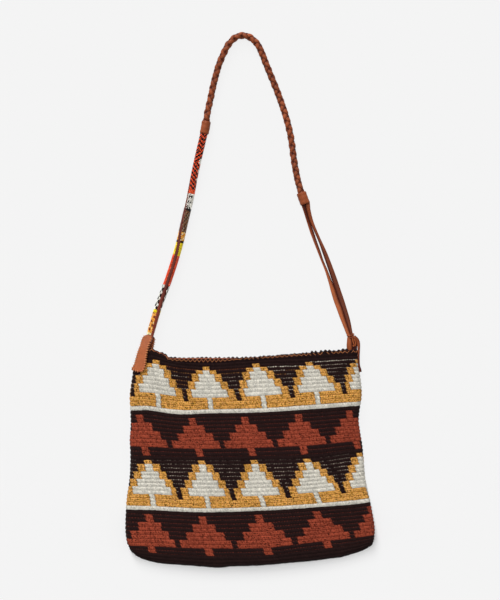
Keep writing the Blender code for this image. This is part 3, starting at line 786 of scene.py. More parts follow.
def lining():
    """The rim's edging, turned over into the bag, and the fabric's inner face."""
    each = 4
    columns = STITCHES * each
    u = FRONT_FIRST + np.arange(columns) / each
    rings, colours, depth, rr = [], [], [], []
    sink = relief_at(np.arange(columns) + FRONT_FIRST * each, np.zeros(columns, int))
    high = bumps(u)
    for q in np.linspace(0, math.pi, 9):
        inset = WALL / 2 * (1 - math.cos(q))
        at = skin(u, 0.0, inset + (0.95 if q == 0 else 0.0))
        at[:, 1] += (0.3 + high) * math.sin(q)
        rings.append(at)
        # Painted shade on the edging, most at its outer foot.
        depth.append(np.full(columns, 0.15 if q == 0 else 0.75))
        rr.append(-0.5 * math.sin(q))
    for r in np.concatenate([np.arange(0.5, 14, 0.5), np.arange(14, 53.5, 1.5)]):
        ridge = 0.35 * math.cos(2 * math.pi * r)
        rings.append(skin(u, r, WALL - 0.2 + ridge))
        # Painted shade on the inner face, darkest at the lines between rounds.
        depth.append(np.full(columns, 0.65 - 0.3 * math.cos(2 * math.pi * r)))
        rr.append(r)
    rows = len(rings)
    cell_r = np.array([max(0, int(math.floor(x))) for x in rr[:-1]])
    cell_u, cell_r = np.broadcast_arrays(np.floor(u).astype(int)[None, :], cell_r[:, None])
    kind = yarn_at(cell_u, cell_r)
    kind[:9] = DARK
    own = YARNS[kind] * (0.85 + 0.3 * noise(cell_u, cell_r, 5))[..., None]
    own = np.concatenate([own, HOLLOW_SHADE[kind][..., None]], -1)
    carried_yarn_and_groove_shade = np.zeros((*kind.shape, 4))
    return make("crochet_inside", np.concatenate(rings), grid_faces(rows, columns, True)[:, ::-1].tolist(),
                YARN,
                corners={"yarn": np.repeat(own.reshape(-1, 4), 4, 0),
                         "carried_yarn_and_groove_shade": np.repeat(carried_yarn_and_groove_shade.reshape(-1, 4), 4, 0)},
                numbers={"relief": np.concatenate(depth)},
                uv=np.stack(np.broadcast_arrays(u[None, :], np.array(rr)[:, None]), -1).reshape(-1, 2))


inside = lining()


def tape():
    """The leather facing inside the mouth, its edge just above the crochet."""
    columns = 400
    u = FRONT_FIRST + np.arange(columns) * STITCHES / columns
    near, far = WALL + 0.3, WALL + 1.8
    x, on_front = front_share(u)
    proud = np.where(on_front, -0.8 + 2.0 * smooth((x + 108) / 8) - 1.1 * smooth((x + 40) / 60), 0.4)
    rings = []
    for inset, deep in [(near, 11.0), (near, 5.0), (near, 0.0), (near + 0.1, -0.7), (near + 0.45, -1.0),
                        (far - 0.45, -1.0), (far - 0.1, -0.7), (far, 0.0), (far, 5.0), (far, 11.0)]:
        at = skin(u, 0.0, inset)
        at[:, 1] += np.where(deep < 0, -deep * proud, -deep)
        rings.append(at)
    rings.append(rings[0])
    made = np.stack(rings)
    rows = len(rings)
    paint = np.broadcast_to([[1.0, 1.0, 1.0]], (rows * columns, 3))
    return make("rim_facing_tape", made.reshape(-1, 3), grid_faces(rows, columns, True)[:, ::-1].tolist(),
                FACING_LEATHER, colours=paint,
                numbers={"depth": np.zeros(rows * columns)})


facing = tape()
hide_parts("rim_facing")


def rim_stitches():
    """The zigzag thread that sews the facing to the rim, all the way round."""
    heap = Heap()
    u = np.arange(FRONT_FIRST, FRONT_FIRST + STITCHES)
    x, on_front = front_share(u)
    right = np.where(on_front, smooth((x + 42) / 40), 1.0)
    top = np.mod(u, 2) == 0
    left_r = np.where(top, 0.03, 0.82)
    right_r = np.where(top, 0.30, -0.22)
    r = left_r + (right_r - left_r) * right + 0.06 * (noise(u, 21) - 0.5)
    # Beside the tab the stitches are small and only just reach over the edge.
    beside = np.where(on_front, smooth((-104 - x) / 5), 0.0)
    r = r * (1 - beside) + np.where(top, -0.30, 0.16) * beside
    base = skin(u + 0.12 * (noise(u, 22) - 0.5), np.maximum(r, 0.0))
    base[:, 1] += np.where(r < 0, -r * 5.2, 0.0)
    out = np.where(on_front, 1.0, -1.0)
    base[:, 2] += out * (0.12 + np.where(r < 0, -0.3, 0.0))
    thick = 0.24
    for i in range(len(u)):
        a, b = base[i], base[(i + 1) % len(u)]
        broken = 0.45 * (beside[i] > 0.5) + 0.16 * (right[i] > 0.9)
        if abs(a[0] - b[0]) > 12 or noise(u[i], 23) < broken:
            continue
        t = np.linspace(0, 1, 5)[:, None]
        line = a + (b - a) * t
        line[:, 2] += np.sin(t[:, 0] * math.pi) * 0.25 * out[i]
        points, faces, _ = swept(line, thick, thick * 0.8, 6, carried=True)
        heap.add(points, faces)
    return heap.make("rim_zigzag_thread", THREAD, "strap_leather")


rim_thread = rim_stitches()


# ---------------------------------------------------------------- the tab's two leaves
def surface_z(x, y):
    """The front panel's height under (x, y), slack left out as it is near the tab."""
    v = (rim_y(x) - y) / (rim_y(x) - base_y(x))
    left = left_x(np.minimum(y, SIDE_LEFT[0][1]))
    right = right_x(np.minimum(y, SIDE_RIGHT[0][1]))
    a = np.clip((x - left) / (right - left), 0, 1)
    return 2 * EDGE_RADIUS + corner_lift(x, y) + crown(a, np.maximum(v, 0.0))


def over_bag(x, y):
    on_bag = surface_z(x, y) + 0.55
    return 11.3 + (on_bag - 11.3) * smooth((-38 - y) / 25)


def leaf(name, outline, under, thick, node_name, bulge=0.0):
    """A leather leaf over a surface: outline gives (along, left edge, right edge) in mm across
    the line from bottom to top."""
    (x0, y0), (x1, y1) = outline["line"]
    length = math.hypot(x1 - x0, y1 - y0)
    along = np.array([x1 - x0, y1 - y0]) / length
    across = np.array([along[1], -along[0]])
    stations = np.array(outline["edges"], float)
    rows = 46
    t = (1 - np.cos(np.linspace(0, math.pi, rows))) / 2 * (stations[-1, 0] - stations[0, 0]) + stations[0, 0]
    left = np.interp(t, stations[:, 0], stations[:, 1])
    right = np.interp(t, stations[:, 0], stations[:, 2])
    c = (1 - np.cos(np.linspace(0, math.pi, 15))) / 2
    wide = left[:, None] + (right - left)[:, None] * c
    long = np.broadcast_to(t[:, None], wide.shape)
    to_edge = np.minimum(np.minimum(wide - left[:, None], right[:, None] - wide),
                         np.minimum(long - t[0], t[-1] - long))
    half = thick / 2 * np.sqrt(1 - (1 - np.clip(to_edge / 0.9, 0, 1)) ** 2)
    x = x0 + along[0] * long + across[0] * wide
    y = y0 + along[1] * long + across[1] * wide
    middle = under(x, y) + thick / 2 + bulge * smooth(to_edge / 5.0)
    top = np.stack([x, y, middle + half], -1)
    low = np.stack([x, y, middle - half], -1)
    heap = Heap()
    faces = grid_faces(rows, 15)
    # Darker within about 1.5 mm of the edges.
    edge_darkening = 0.75 * (1 - smooth(to_edge / 1.5))
    shaded = np.broadcast_to((1.0 - 0.10 * smooth((long - 26) / 14))[..., None], (*long.shape, 3))
    heap.add(top, [faces[:, ::-1]], depth=edge_darkening.ravel(), paint=shaded.reshape(-1, 3))
    heap.add(low, [faces], depth=edge_darkening.ravel())
    made = heap.make(name, TAB_LEATHER, "tab_leather")
    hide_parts(node_name)

    def place(s, w):
        px = x0 + along[0] * s + across[0] * w
        py = y0 + along[1] * s + across[1] * w
        return px, py

    return made, place, t, left, right, under, thick


# Outlines measured from each leaf's own line: how far up, then its left and right edges.
FRONT_LEAF = {"line": TAB_FRONT, "edges": [
    (-1.1, -9.0, 0.0), (0.0, -9.8, 4.2), (1.3, -9.4, 5.6), (4.0, -8.6, 6.7), (7.5, -7.9, 7.2),
    (12.0, -7.8, 6.6), (18.0, -7.8, 5.5), (22.0, -7.7, 5.0), (26.5, -7.4, 4.6), (33.0, -6.6, 4.4),
    (40.0, -6.9, 4.8), (44.0, -6.1, 5.4), (46.4, -4.8, 5.6), (48.0, -2.3, 5.2), (48.8, -0.6, 3.6)]}
REAR_LEAF = {"line": TAB_REAR, "edges": [
    (-0.5, -6.4, 6.4), (1.0, -7.0, 7.0), (10, -6.9, 7.1), (20, -6.7, 7.3), (30, -6.5, 7.6),
    (38, -6.2, 7.2), (42, -5.8, 6.8), (44.5, -4.6, 6.2), (46, -2.2, 4.2)]}
tab_front, place_front, t_front, left_front, right_front, _, _ = leaf(
    "tab_leaf_front", FRONT_LEAF, over_bag, 2.0, "strap_tab_front", bulge=0.25)
tab_rear, place_rear, t_rear, left_rear, right_rear, _, _ = leaf(
    "tab_leaf_rear", REAR_LEAF, lambda x, y: 0.15 + 0 * x, 2.0, "strap_tab_rear")


def whip(name, place, t, left, right, under, thick, into):
    """Whip stitches over a leaf's two long edges and its foot."""
    heap = Heap()
    pitch = 3.1
    spots = []
    for s in np.arange(t[0] + 1.8, t[-1] - 3.5, pitch):
        spots.append((s, float(np.interp(s, t, right)), 1.0, 0.0))
        spots.append((s + 1.3, float(np.interp(s + 1.3, t, left)), -1.0, 0.0))
    for w in np.arange(left[1] + 1.8, right[1] - 1.0, pitch):
        spots.append((t[0], w, 0.0, -1.0))
    for k, (s, w, out_w, out_s) in enumerate(spots):
        wobble = 0.5 * (float(noise(k, 31)) - 0.5)
        line = []
        for reach, lift in [(-1.9, 0.05), (-1.2, 0.42), (-0.3, 0.40), (0.35, -0.35), (0.55, -thick * 0.62),
                            (0.2, -thick - into)]:
            lean = 0.28 * (reach + 1.9) + wobble
            x, y = place(s + out_s * reach + (lean if out_s == 0 else 0.0),
                         w + out_w * reach + (lean if out_s else 0.0))
            inner_x, inner_y = place(s, w - out_w * 0.8 + 0 * s)
            line.append((x, y, float(under(np.array(inner_x), np.array(inner_y))) + thick + lift))
        points, faces, _ = swept(np.array(line), 0.58, 0.50, 8, carried=True)
        heap.add(points, faces)
    return heap.make(name, TAB_THREAD, "tab_leather")


whip_front = whip("tab_whip_stitches_front", place_front, t_front, left_front, right_front,
                  over_bag, 2.0, 0.3)
whip_rear = whip("tab_whip_stitches_rear", place_rear, t_rear, left_rear, right_rear,
                 lambda x, y: 0.15 + 0 * x, 1.55, 0.0)

# ---------------------------------------------------------------- the lace and its beadwork
# The stripe of bare lace: which way it looks, in degrees from straight up towards the left, and
# how wide it is, both by how far along the lace.
SLIT_TURNS = [(0.0, -62.0), (0.06, -53.0), (0.12, -41.0), (0.17, -24.0), (0.235, -8.0),
              (0.36, -4.0), (0.46, 14.0),
              (0.54, 44.0), (0.70, 64.0), (0.80, 92.0), (1.0, 118.0)]
slit_turn = line_of(SLIT_TURNS, 0)
SLIT_WIDTHS = [(0.0, 84.0), (0.16, 74.0), (0.26, 54.0), (0.50, 50.0), (0.72, 44.0), (1.0, 40.0)]
slit_wide = line_of(SLIT_WIDTHS, 0)

lace_line, lace_length = route(LACE_ROUTE, 1.5)
kept = lace_line[np.linspace(0, lace_length, len(lace_line)) <= lace_length - 8.0]
_, lace_side, lace_up = frames(kept)
bare = np.radians(slit_turn(np.linspace(0, 1, len(kept))))[:, None]
raised = kept + (lace_up * np.cos(bare) - lace_side * np.sin(bare)) * 1.15
points, faces, at = swept(raised, 3.5, 3.5, 24)
heap = Heap()
# The bare lace is lighter and warmer near its start.
lighter_near_start = (1 - smooth((at / (len(kept) - 1) - 0.10) / 0.16))[:, None] * (1.05, 0.80, 0.30) + 1.0
heap.add(points, faces, paint=lighter_near_start)
lace = heap.make("lace_core", LACE_LEATHER, "strap_leather")
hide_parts("strap_lace")

BEAD_COLOURS = {"red": linear("#e04a22"), "flame": linear("#ff643a"), "orange": linear("#ee5c2e"), "black": linear("#0c0707"),
                "deep": linear("#6a1813"),
                "white": linear("#efece2"), "grey": linear("#8c8068"), "brown": linear("#85593a"),
                "gold": linear("#eca642"), "yellow": linear("#f2d820"), "rust": linear("#8a421e"),
                "pale": linear("#f6e6b4")}


def bead_colour(tall, turn, row, k):
    """A bead's colour by the height of its round in the photograph's rows, and its place in the
    weave."""
    if tall < 189.4:
        # Twilled stripes: a V at the top, then all one way, then all the other.
        slope = -abs(k % 6 - 3) if tall < 152 else k if tall < 163 else -k
        if (abs(tall - 161) < 2.6 and turn < -38 or abs(tall - 170.6) < 1.7 and turn < -48
                or abs(tall - 179) < 1.4 and turn < -56):
            return "white"
        return ("black", "deep" if (row + k) % 3 == 0 else "black", "flame", "red")[(row + slope) % 4]
    if tall < 193.4:
        return "orange"
    if tall < 209:
        low = (tall - 193.4) % 5.0
        if 2.4 < low < 4.9 and 0 < turn < 21 or 2.9 < low < 4.9 and -38 < turn < -16:
            return "black"
        return "white"
    if tall < 210.8:
        return "black"
    if tall < 232.4:
        if (row + 2 * k) % 5 == 0:
            return "black"
        return "grey" if (row + 2 * k) % 5 == 3 else "brown"
    if tall < 240.7:
        return "gold" if (row + k) % 5 else "pale"
    if tall < 242.6:
        return "black"
    if tall < 255.6:
        return "yellow"
    if tall < 285.8:
        return "red" if (row + k) % 4 else "orange"
    if tall < 309.8:
        return "white" if (row // 3 + (k + 1) // 3) % 2 else "black"
    if tall < 313.4:
        return "yellow"
    if tall > 333.5:
        return "pale"
    if (row // 2 + k // 2 * 2) % 4 == 0:
        return "black" if (row // 4 + k // 2) % 2 else "rust"
    return "pale" if (row + 5 * k) % 11 == 0 else "gold"


def beadwork():
    """Seed beads woven round the lace, in rounds of 15 that leave a stripe of it bare."""
    first, last = 8.4, lace_length - 16.6
    count = round((last - first) / 1.42)
    s = np.linspace(first, last, count)
    along = np.linspace(0, lace_length, len(lace_line))
    centre = np.stack([np.interp(s, along, lace_line[:, k]) for k in range(3)], 1)
    ahead, side, up = frames(centre)
    per = 15
    # One bead, its thread running along its first axis: a barrel with hollow ends.
    profile = [(-0.52, 0.24), (-0.56, 0.66), (0.0, 0.83), (0.56, 0.66), (0.52, 0.24)]
    sides = 8
    t = np.arange(sides) / sides * 2 * math.pi
    shape = np.array([[(x, r * math.cos(a), r * math.sin(a)) for a in t] for x, r in profile])
    template = shape.reshape(-1, 3)
    quads = grid_faces(len(profile), sides, around=True)
    places, paints, faces = [], [], []
    for i in range(count):
        share = (s[i] - first) / (last - first)
        middle, slit = float(slit_turn(share)), float(slit_wide(share))
        for k in range(per):
            turn = middle + slit / 2 + (k + 0.5 + (0.2 if i % 2 else -0.2)) * (360 - slit) / per
            turn_at = math.radians(turn)
            facing_turn = (turn + 180) % 360 - 180
            out = up[i] * math.cos(turn_at) - side[i] * math.sin(turn_at)
            round_about = -up[i] * math.sin(turn_at) - side[i] * math.cos(turn_at)
            size = 0.94 + 0.12 * float(noise(i, k, 41))
            tilt = 0.25 * (float(noise(i, k, 42)) - 0.5)
            axis = round_about * math.cos(tilt) + ahead[i] * math.sin(tilt)
            third = np.cross(axis, out)
            at_place = centre[i] + out * (4.18 + 0.12 * float(noise(i, k, 43)))
            places.append(at_place + size * (template @ np.stack([axis, third, out])))
            tall = 302.5 - centre[i, 1] / 1.304
            tone = 0.88 + 0.24 * float(noise(i, k, 44))
            colour = np.array(BEAD_COLOURS[bead_colour(tall, facing_turn, i, k)]) * tone
            paints.append(np.broadcast_to(colour, (len(template), 3)))
            faces.append(quads + len(template) * (len(places) - 1))
    places = np.concatenate(places)
    made = make("woven_seed_beads", places, np.concatenate(faces).tolist(), BEADS,
                colours=np.concatenate(paints))
    return made


beads = beadwork()
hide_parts("bead_sleeve")

# ---------------------------------------------------------------- the braid
braid_line, braid_length = route(BRAID_ROUTE, 0.8)
ahead, side, up = frames(braid_line)
s = np.linspace(0, braid_length, len(braid_line))
TURN = 22.0              # a strand goes once round in this length
heap = Heap()
for hand in (1, -1):
    for start in (0, math.pi):
        wave = 2 * math.pi * s / TURN
        roll = math.pi / 4 + 0.42 * np.sin(s / 29 + 0.9)      # its face shows a row of Vs
        angle = hand * wave + start + roll
        radius = 2.80 + hand * (0.65 + 0.12 * np.sin(s / 9.1 + start)) * np.cos(2 * wave)
        out = up * np.cos(angle)[:, None] + side * np.sin(angle)[:, None]
        line = braid_line + out * radius[:, None]
        tangent = unit(np.gradient(line, axis=0))
        wide_way = unit(np.cross(tangent, out))
        out = np.cross(wide_way, tangent)
        count = 14
        shape = ring(count, 2.4)
        uneven = 1 + 0.09 * np.sin(s / 6.1 + start * 2 + hand) * np.sin(s / 17.0 + start)
        across = shape[None, :, 0] * 3.35 * uneven[:, None]
        high = shape[None, :, 1] * 1.35 - across**2 / 11.0
        made = line[:, None] + across[..., None] * wide_way[:, None] + high[..., None] * out[:, None]
        rows = len(line)
        # Painted shade on each strand's edges and where it passes under the others, and painted highlights
        # that come and go along it.
        edge = np.abs(shape[:, 0]) ** 2.0
        under = 0.5 * (1 - hand * np.cos(2 * wave))
        dark = np.clip(0.88 * edge[None, :] + 0.85 * under[:, None] ** 2, 0, 1)
        shine = 1.02 + 0.26 * np.sin(s / 3.1 + 1.7 * hand + start) * np.sin(s / 11.3 + hand)
        paint = np.broadcast_to(shine[:, None, None], (rows, count, 3)).reshape(-1, 3)
        heap.add(made.reshape(-1, 3), [grid_faces(rows, count, around=True)], paint=paint,
                 depth=dark.ravel())
braid = heap.make("four_strand_braid", STRAP_LEATHER, "strap_leather")
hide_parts("braided_strap")


# ---------------------------------------------------------------- the two collars
def collar(name, line, radius, node_name, ends=4.3):
    """A leather sleeve round a joint of the strap, with turned edges and a lapped seam."""
    n = len(line)
    q = np.linspace(0, 1, n)
    edge = np.minimum(q, 1 - q) * n * 0.6
    size = radius - 0.5 * (1 - smooth(edge / 1.6)) + 0.10 * np.sin(q * 17)
    ahead, side, up = frames(line)
    count = 40
    t = np.arange(count) / count * 2 * math.pi
    lap = 0.35 * smooth((np.sin(t + 2.2) - 0.72) / 0.06)
    rings = []
    inner = [(0, ends), (0, radius - 1.0)]
    for j, scale in inner:
        rings.append(line[j] + scale * (np.cos(t)[:, None] * side[j] + np.sin(t)[:, None] * up[j]))
    for j in range(n):
        rr = size[j] + lap + 0.08 * np.sin(3 * t + q[j] * 5)
        rings.append(line[j] + rr[:, None] * (np.cos(t)[:, None] * side[j] + np.sin(t)[:, None] * up[j]))
    # The far end is closed round what comes out of it.
    for j, scale in ((n - 1, radius - 1.0), (n - 1, ends), (n - 3, 0.4)):
        rings.append(line[j] + scale * (np.cos(t)[:, None] * side[j] + np.sin(t)[:, None] * up[j]))
    rows = len(rings)
    # Painted shade inside the open ends; darker too near the turned edges and along the lapped seam.
    dark = np.concatenate([np.full(2, 0.8), 0.5 * (1 - smooth(edge / 1.2)), np.full(3, 0.8)])
    dark = np.broadcast_to(dark[:, None], (rows, count)) + 0.0
    dark = np.maximum(dark, 0.5 * np.exp(-((np.sin(t + 2.2) - 0.72) / 0.05) ** 2)[None, :])
    heap = Heap()
    heap.add(np.concatenate(rings), [grid_faces(rows, count, around=True)], depth=dark.ravel())
    made = heap.make(name, STRAP_LEATHER, "strap_leather")
    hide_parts(node_name)
    return made


fine_lace, _ = route(LACE_ROUTE, 0.6)
sl = np.linspace(0, lace_length, len(fine_lace))
collar_left = collar("collar_sleeve_left", fine_lace[sl >= lace_length - 17.0], 5.7, "collar_left")
fine_braid, _ = route(BRAID_ROUTE, 0.6)
heading = unit(fine_braid[-1] - fine_braid[-12])
beyond = fine_braid[-1] + heading * np.arange(0.6, 7.2, 0.6)[:, None]
sb = np.linspace(0, braid_length, len(fine_braid))
collar_right = collar("collar_sleeve_right", np.concatenate([fine_braid[sb >= braid_length - 9.0], beyond]),
                      6.2, "collar_right")


# ---------------------------------------------------------------- the thongs and their knot
def strip(name, edges, heights, thick, shades, light_by_row, node_name, wrap=None):
    """A flat leather thong. edges gives its left and right edge in rows of the photograph, which
    are 1.304 mm apart; heights its middle's height by row; shades its painted shade at its left
    edge, middle and right edge by row; and the last list the painted highlight and shade that scale its
    colour by row."""
    points = []
    for row, left, right in edges:
        z = float(np.interp(row, [h[0] for h in heights], [h[1] for h in heights]))
        points.append(((((left + right) / 2) - 249.5) * 1.304, (302.5 - row) * 1.304, z,
                       (right - left) * 1.304))
    line, length = route(points, 1.0)
    ahead = unit(np.gradient(line[:, :2], axis=0))
    wide = line[:, 3] / 2 * np.maximum(np.abs(ahead[:, 1]), 0.6)
    count = 28
    made, faces, index = swept(line[:, :3], wide, thick / 2, count, square=3.0, crowned=0.45)
    shape = ring(count, 3.0)
    rings = (len(made) - 2) // count
    row = 302.5 - line[index[:-2:count], 1] / 1.304
    dark = [np.interp(row, [n[0] for n in shades], [n[k] for n in shades]) for k in (1, 2, 3)]
    c = -shape[None, :, 0]
    depth = np.where(c < 0, dark[1][:, None] + (dark[0] - dark[1])[:, None] * smooth(-c * 1.1),
                     dark[1][:, None] + (dark[2] - dark[1])[:, None] * smooth(c * 1.1))
    # Painted shade on its underside.
    depth = np.where(shape[None, :, 1] < -0.1, 0.8, depth)
    light_here = np.stack([np.interp(row, [n[0] for n in light_by_row], [n[k] for n in light_by_row])
                     for k in (1, 2, 3)], 1)
    paint = np.concatenate([np.repeat(light_here, count, 0), np.ones((2, 3))])
    heap = Heap()
    heap.add(made, faces, depth=np.clip(np.concatenate([depth.ravel(), [0.6, 0.6]]), 0, 1),
             paint=paint)
    piece = heap.make(name, STRAP_LEATHER, "strap_leather")
    if node_name:
        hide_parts(node_name)
    return piece, line, length


LEFT_EDGES = [(201.5, 300.3, 305.3), (206.5, 301.9, 306.3), (210.5, 303.3, 306.9),
              (220.5, 306.5, 309.8), (230.5, 309.7, 313.7), (240.5, 313.4, 317.0),
              (250.5, 317.3, 320.6), (260.5, 321.2, 323.9), (270.5, 325.1, 328.1),
              (280.5, 328.2, 331.9), (290.5, 330.9, 335.7), (300.5, 333.8, 339.1),
              (310.5, 337.4, 343.0), (320.5, 341.1, 345.9), (330.5, 345.0, 349.2),
              (336.0, 347.2, 351.0)]
RIGHT_EDGES = [(201.5, 304.6, 309.9), (206.5, 305.7, 310.3), (210.5, 306.7, 310.8),
               (220.5, 309.7, 313.4), (230.5, 314.0, 317.3), (240.5, 318.3, 321.7),
               (250.5, 321.9, 326.4), (260.5, 325.4, 330.5), (270.5, 328.8, 334.3),
               (280.5, 332.1, 337.9), (290.5, 335.5, 341.2), (300.5, 338.8, 344.6),
               (310.5, 342.6, 347.6), (320.5, 345.6, 350.4), (330.5, 348.8, 352.3),
               (336.0, 350.4, 353.2)]
HEIGHTS = [(201.5, 6.2), (207.5, 6.2), (214, 4.8), (222, 2.8), (234, 1.5), (286, 1.5), (300, 2.4),
           (310, 3.6), (320, 5.0), (330, 6.6), (336, 7.2)]
# Each thong gets painted shade on its turned-away side and a painted highlight along its lit edge.
thong_left, left_line, left_length = strip(
    "thong_strip_left", LEFT_EDGES, HEIGHTS, 2.0,
    [(200, 0.4, 0.95, 1.0), (212, 0.4, 0.9, 1.0), (235, 0.10, 0.75, 1.0), (262, 0.0, 0.55, 1.0),
     (284, 0.0, 0.12, 0.85), (300, 0.0, 0.0, 0.85), (336, 0.05, 0.1, 0.9)],
    [(200, 1.2, 1.1, 1.0), (228, 1.35, 1.25, 1.0), (262, 1.35, 1.3, 1.1), (284, 1.35, 1.5, 1.45),
     (336, 1.3, 1.4, 1.3)],
    "thong_left")
thong_right, right_line, right_length = strip(
    "thong_strip_right", RIGHT_EDGES, [(row, z - 0.15) for row, z in HEIGHTS], 2.0,
    [(200, 0.35, 0.0, 0.15), (222, 0.6, 0.15, 0.3), (232, 0.75, 0.40, 0.5), (246, 1.0, 0.45, 0.45),
     (262, 1.0, 0.55, 0.6), (290, 1.0, 0.65, 0.6), (336, 1.0, 0.6, 0.75)],
    [(200, 1.15, 1.2, 1.15), (222, 1.1, 1.1, 1.1), (262, 1.0, 1.05, 1.0), (336, 0.95, 1.0, 1.0)],
    "thong_right")
# The bight at the bag's corner, and the cut end that hangs out of the knot.
# The bight gets painted shade and a painted highlight too.
loop, _, _ = strip(
    "knot_bight", [(335.5, 347.7, 351.6), (338.5, 347.1, 352.0), (342.0, 346.8, 352.5),
                   (346.0, 346.6, 352.8), (350.2, 347.2, 352.6)],
    [(335, 8.2), (340, 8.0), (345, 7.5), (350.5, 6.2)], 2.2,
    [(335, 0.3, 0.1, 0.9), (351, 0.2, 0.0, 0.9)], [(335, 1.25, 1.3, 1.2), (351, 1.25, 1.35, 1.3)],
    "knot_loop")


def cut_end():
    """The end of one thong: out of the knot, over its side and down beside the bag."""
    points = [(134.2, -44.4, 8.2, 3.6), (137.3, -45.6, 9.0, 4.4), (139.8, -48.0, 8.4, 4.8),
              (141.6, -51.6, 7.8, 4.7), (142.4, -56.1, 7.4, 4.0), (142.5, -61.9, 7.8, 3.3),
              (142.3, -69.8, 8.2, 2.9), (142.4, -77.6, 8.0, 2.8), (142.9, -83.0, 7.6, 3.1),
              (143.6, -87.4, 7.2, 4.6), (144.2, -90.6, 7.0, 4.4)]
    line, length = route(points, 1.0)
    count = 24
    made, faces, index = swept(line[:, :3], line[:, 3] / 2, 1.15, count, square=3.2, crowned=0.5,
                               domed=(True, False))
    shape = ring(count, 3.2)
    rings = (len(made) - 2) // count
    # Painted shade along one side, and darker towards its lower end.
    edge = np.maximum(0.15, 0.75 * smooth((-shape[:, 0] - 0.2) * 1.4))
    heap = Heap()
    lower = 0.58 * smooth((-50 - made[:-2, 1]) / 26)
    heap.add(made, faces, depth=np.concatenate([np.clip(np.tile(edge, rings) + lower, 0, 1), [0.6, 0.6]]))
    piece = heap.make("thong_cut_end", STRAP_LEATHER, "strap_leather")
    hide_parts("thong_end")
    return piece, line, length


end, end_line, end_length = cut_end()


def knot():
    """The wrap of both thongs at the bag's corner, and the turns inside its loop."""
    heap = Heap()
    # The wrap goes round the two thongs, its band lying along them, painted a little lighter as a highlight
    # and with painted shade at its band's edges.
    along = unit(np.array([0.36, -0.93, 0.0]))
    across = np.array([0.93, 0.36, 0.0])
    for shift, wide, size in [(-0.4, 1.5, 0.25), (2.4, 1.35, 0.0)]:
        t = np.linspace(0.3, 2 * math.pi + 0.3, 44)
        line = (np.array([132.0, -43.0, 7.0]) + along * shift
                + across * ((3.5 + size) * np.cos(t))[:, None]
                + np.array([0.0, 0.0, 1.0]) * ((2.7 + size) * np.sin(t))[:, None]
                + along * (1.0 * np.sin(t + 0.4))[:, None])
        points, faces, _ = swept(line, 0.75, wide, 12, square=2.6, carried=True,
                                 domed=(False, False))
        shown = (len(points) - 2) // 12
        heap.add(points, faces, depth=np.concatenate([np.tile(
            0.7 * np.abs(ring(12, 2.6)[:, 1]) ** 4, shown), [0.5, 0.5]]), paint=(1.1, 1.1, 1.0))
    # The flesh side of the thong behind, painted dark as the shade in the knot's hole, and the two small
    # turns in the loop, painted lighter as highlights.
    behind, _ = route([(134.6, -44.6, 5.6), (135.6, -49.0, 5.2), (136.0, -55.0, 5.2),
                       (135.8, -62.5, 5.4)], 1.0)
    points, faces, _ = swept(behind, 4.6, 0.9, 16, square=3.0)
    heap.add(points, faces, depth=1.0, paint=(0.5, 0.4, 0.4))
    for turn in ([(134.2, -45.6, 9.0), (134.6, -49.2, 9.2), (135.6, -52.8, 9.0), (136.4, -55.6, 8.2),
                  (135.4, -57.0, 7.0), (133.8, -55.6, 6.4)],
                 [(136.2, -47.4, 8.8), (137.6, -50.4, 8.8), (138.4, -54.0, 8.2), (137.6, -56.6, 7.0)]):
        line, _ = route(turn, 0.8)
        points, faces, _ = swept(line, 0.72, 0.7, 12, square=2.6)
        heap.add(points, faces, depth=0.0, paint=(1.5, 1.6, 1.5))
    made = heap.make("knot_wrap", STRAP_LEATHER, "strap_leather")
    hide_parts("corner_knot")
    return made


knot_piece = knot()


# ---------------------------------------------------------------- floor and light
bpy.ops.mesh.primitive_plane_add(size=40.0, location=(0.0, 0.0, 0.0))
floor = bpy.context.object
floor.name = "floor"
paper = Look("floor_paper", 0.9)
# The table glows through, so that things on it throw no shadow, less so below the bag's base.
place = paper.tree.nodes.new("ShaderNodeSeparateXYZ")
paper.set(place.inputs[0], paper.place)
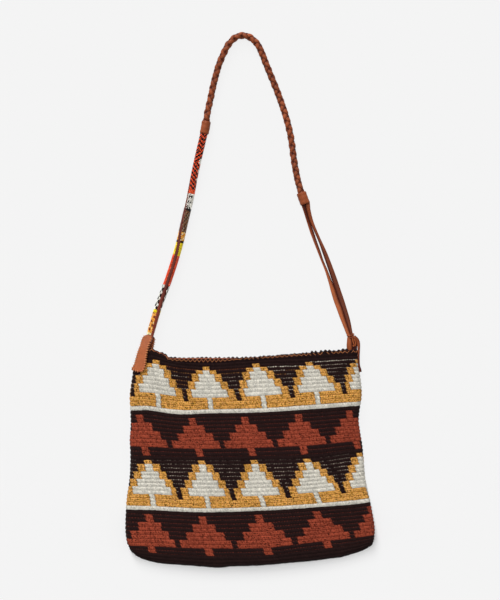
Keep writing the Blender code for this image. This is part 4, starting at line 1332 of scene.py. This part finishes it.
# How far up from the base's own curve, in metres.
bowed = paper.math("POWER", paper.math("ADD", place.outputs[0], 0.02), 2.0)
above = paper.math("ADD", paper.math("SUBTRACT", place.outputs[1],
                                     paper.math("MULTIPLY", bowed, 0.78)), 0.3472)
lit = paper.ramp(above, 0.0, 0.10, 1.0, 0.06)
near = paper.ramp(above, -0.0285, 0.0105)
tone = paper.ramp(paper.noise(3.0, 2.0), 0.3, 0.7, 0.997, 1.003)
soft = paper.math("MULTIPLY", tone, paper.math("ADD", 0.03, paper.math(
    "MULTIPLY", 0.62, paper.math("MULTIPLY", lit, near))))
floor.data.materials.append(paper.done(paper.shade((1.0, 1.0, 1.0, 1.0), soft)))
paper.shader.inputs["Specular IOR Level"].default_value = 0.0
paper.shader.inputs["Emission Color"].default_value = (1.0, 1.0, 1.0, 1.0)
paper.set(paper.shader.inputs["Emission Strength"],
          paper.math("SUBTRACT", 0.905, paper.math("MULTIPLY", soft, 1.10)))

# A pale backdrop far round the floor, which the lights and the object don't meet.
bpy.ops.mesh.primitive_cylinder_add(vertices=96, radius=15.0, depth=12.0, end_fill_type="NOTHING",
                                    location=(0.0, 0.0, 5.9))
backdrop = bpy.context.object
backdrop.name = "backdrop"
cloth = Look("backdrop_paper", 0.9)
backdrop.data.materials.append(cloth.done((0.0, 0.0, 0.0, 1.0)))
cloth.shader.inputs["Specular IOR Level"].default_value = 0.0
cloth.shader.inputs["Emission Color"].default_value = (1.0, 1.0, 1.0, 1.0)
cloth.set(cloth.shader.inputs["Emission Strength"], cloth.ramp(
    cloth.noise(0.3, 2.0), 0.3, 0.7, 0.900, 0.906))
backdrop.visible_diffuse = backdrop.visible_glossy = backdrop.visible_shadow = False

world = bpy.context.scene.world or bpy.data.worlds.new("World")
bpy.context.scene.world = world
world.use_nodes = True
world.node_tree.nodes["Background"].inputs["Color"].default_value = (1.0, 1.0, 1.0, 1.0)
world.node_tree.nodes["Background"].inputs["Strength"].default_value = 0.30
# A tall soft light beyond the top of the strap: its height above the horizon, and its share.
for number, (steep, share) in enumerate([(20, 0.16), (28, 0.14), (38, 0.16), (52, 0.18),
                                         (75, 0.36)]):
    steep = math.radians(steep)
    sun = bpy.data.lights.new("softbox_%d" % number, "SUN")
    sun.energy = 0.80 * share * math.pi / math.sin(steep)
    sun.angle = math.radians(10)
    sun_object = bpy.data.objects.new("softbox_%d" % number, sun)
    sun_object.rotation_mode = "QUATERNION"
    sun_object.rotation_quaternion = Vector((0, 0, 1)).rotation_difference(
        Vector((-0.30 * math.cos(steep), 0.954 * math.cos(steep), math.sin(steep))))
    bpy.context.scene.collection.objects.link(sun_object)
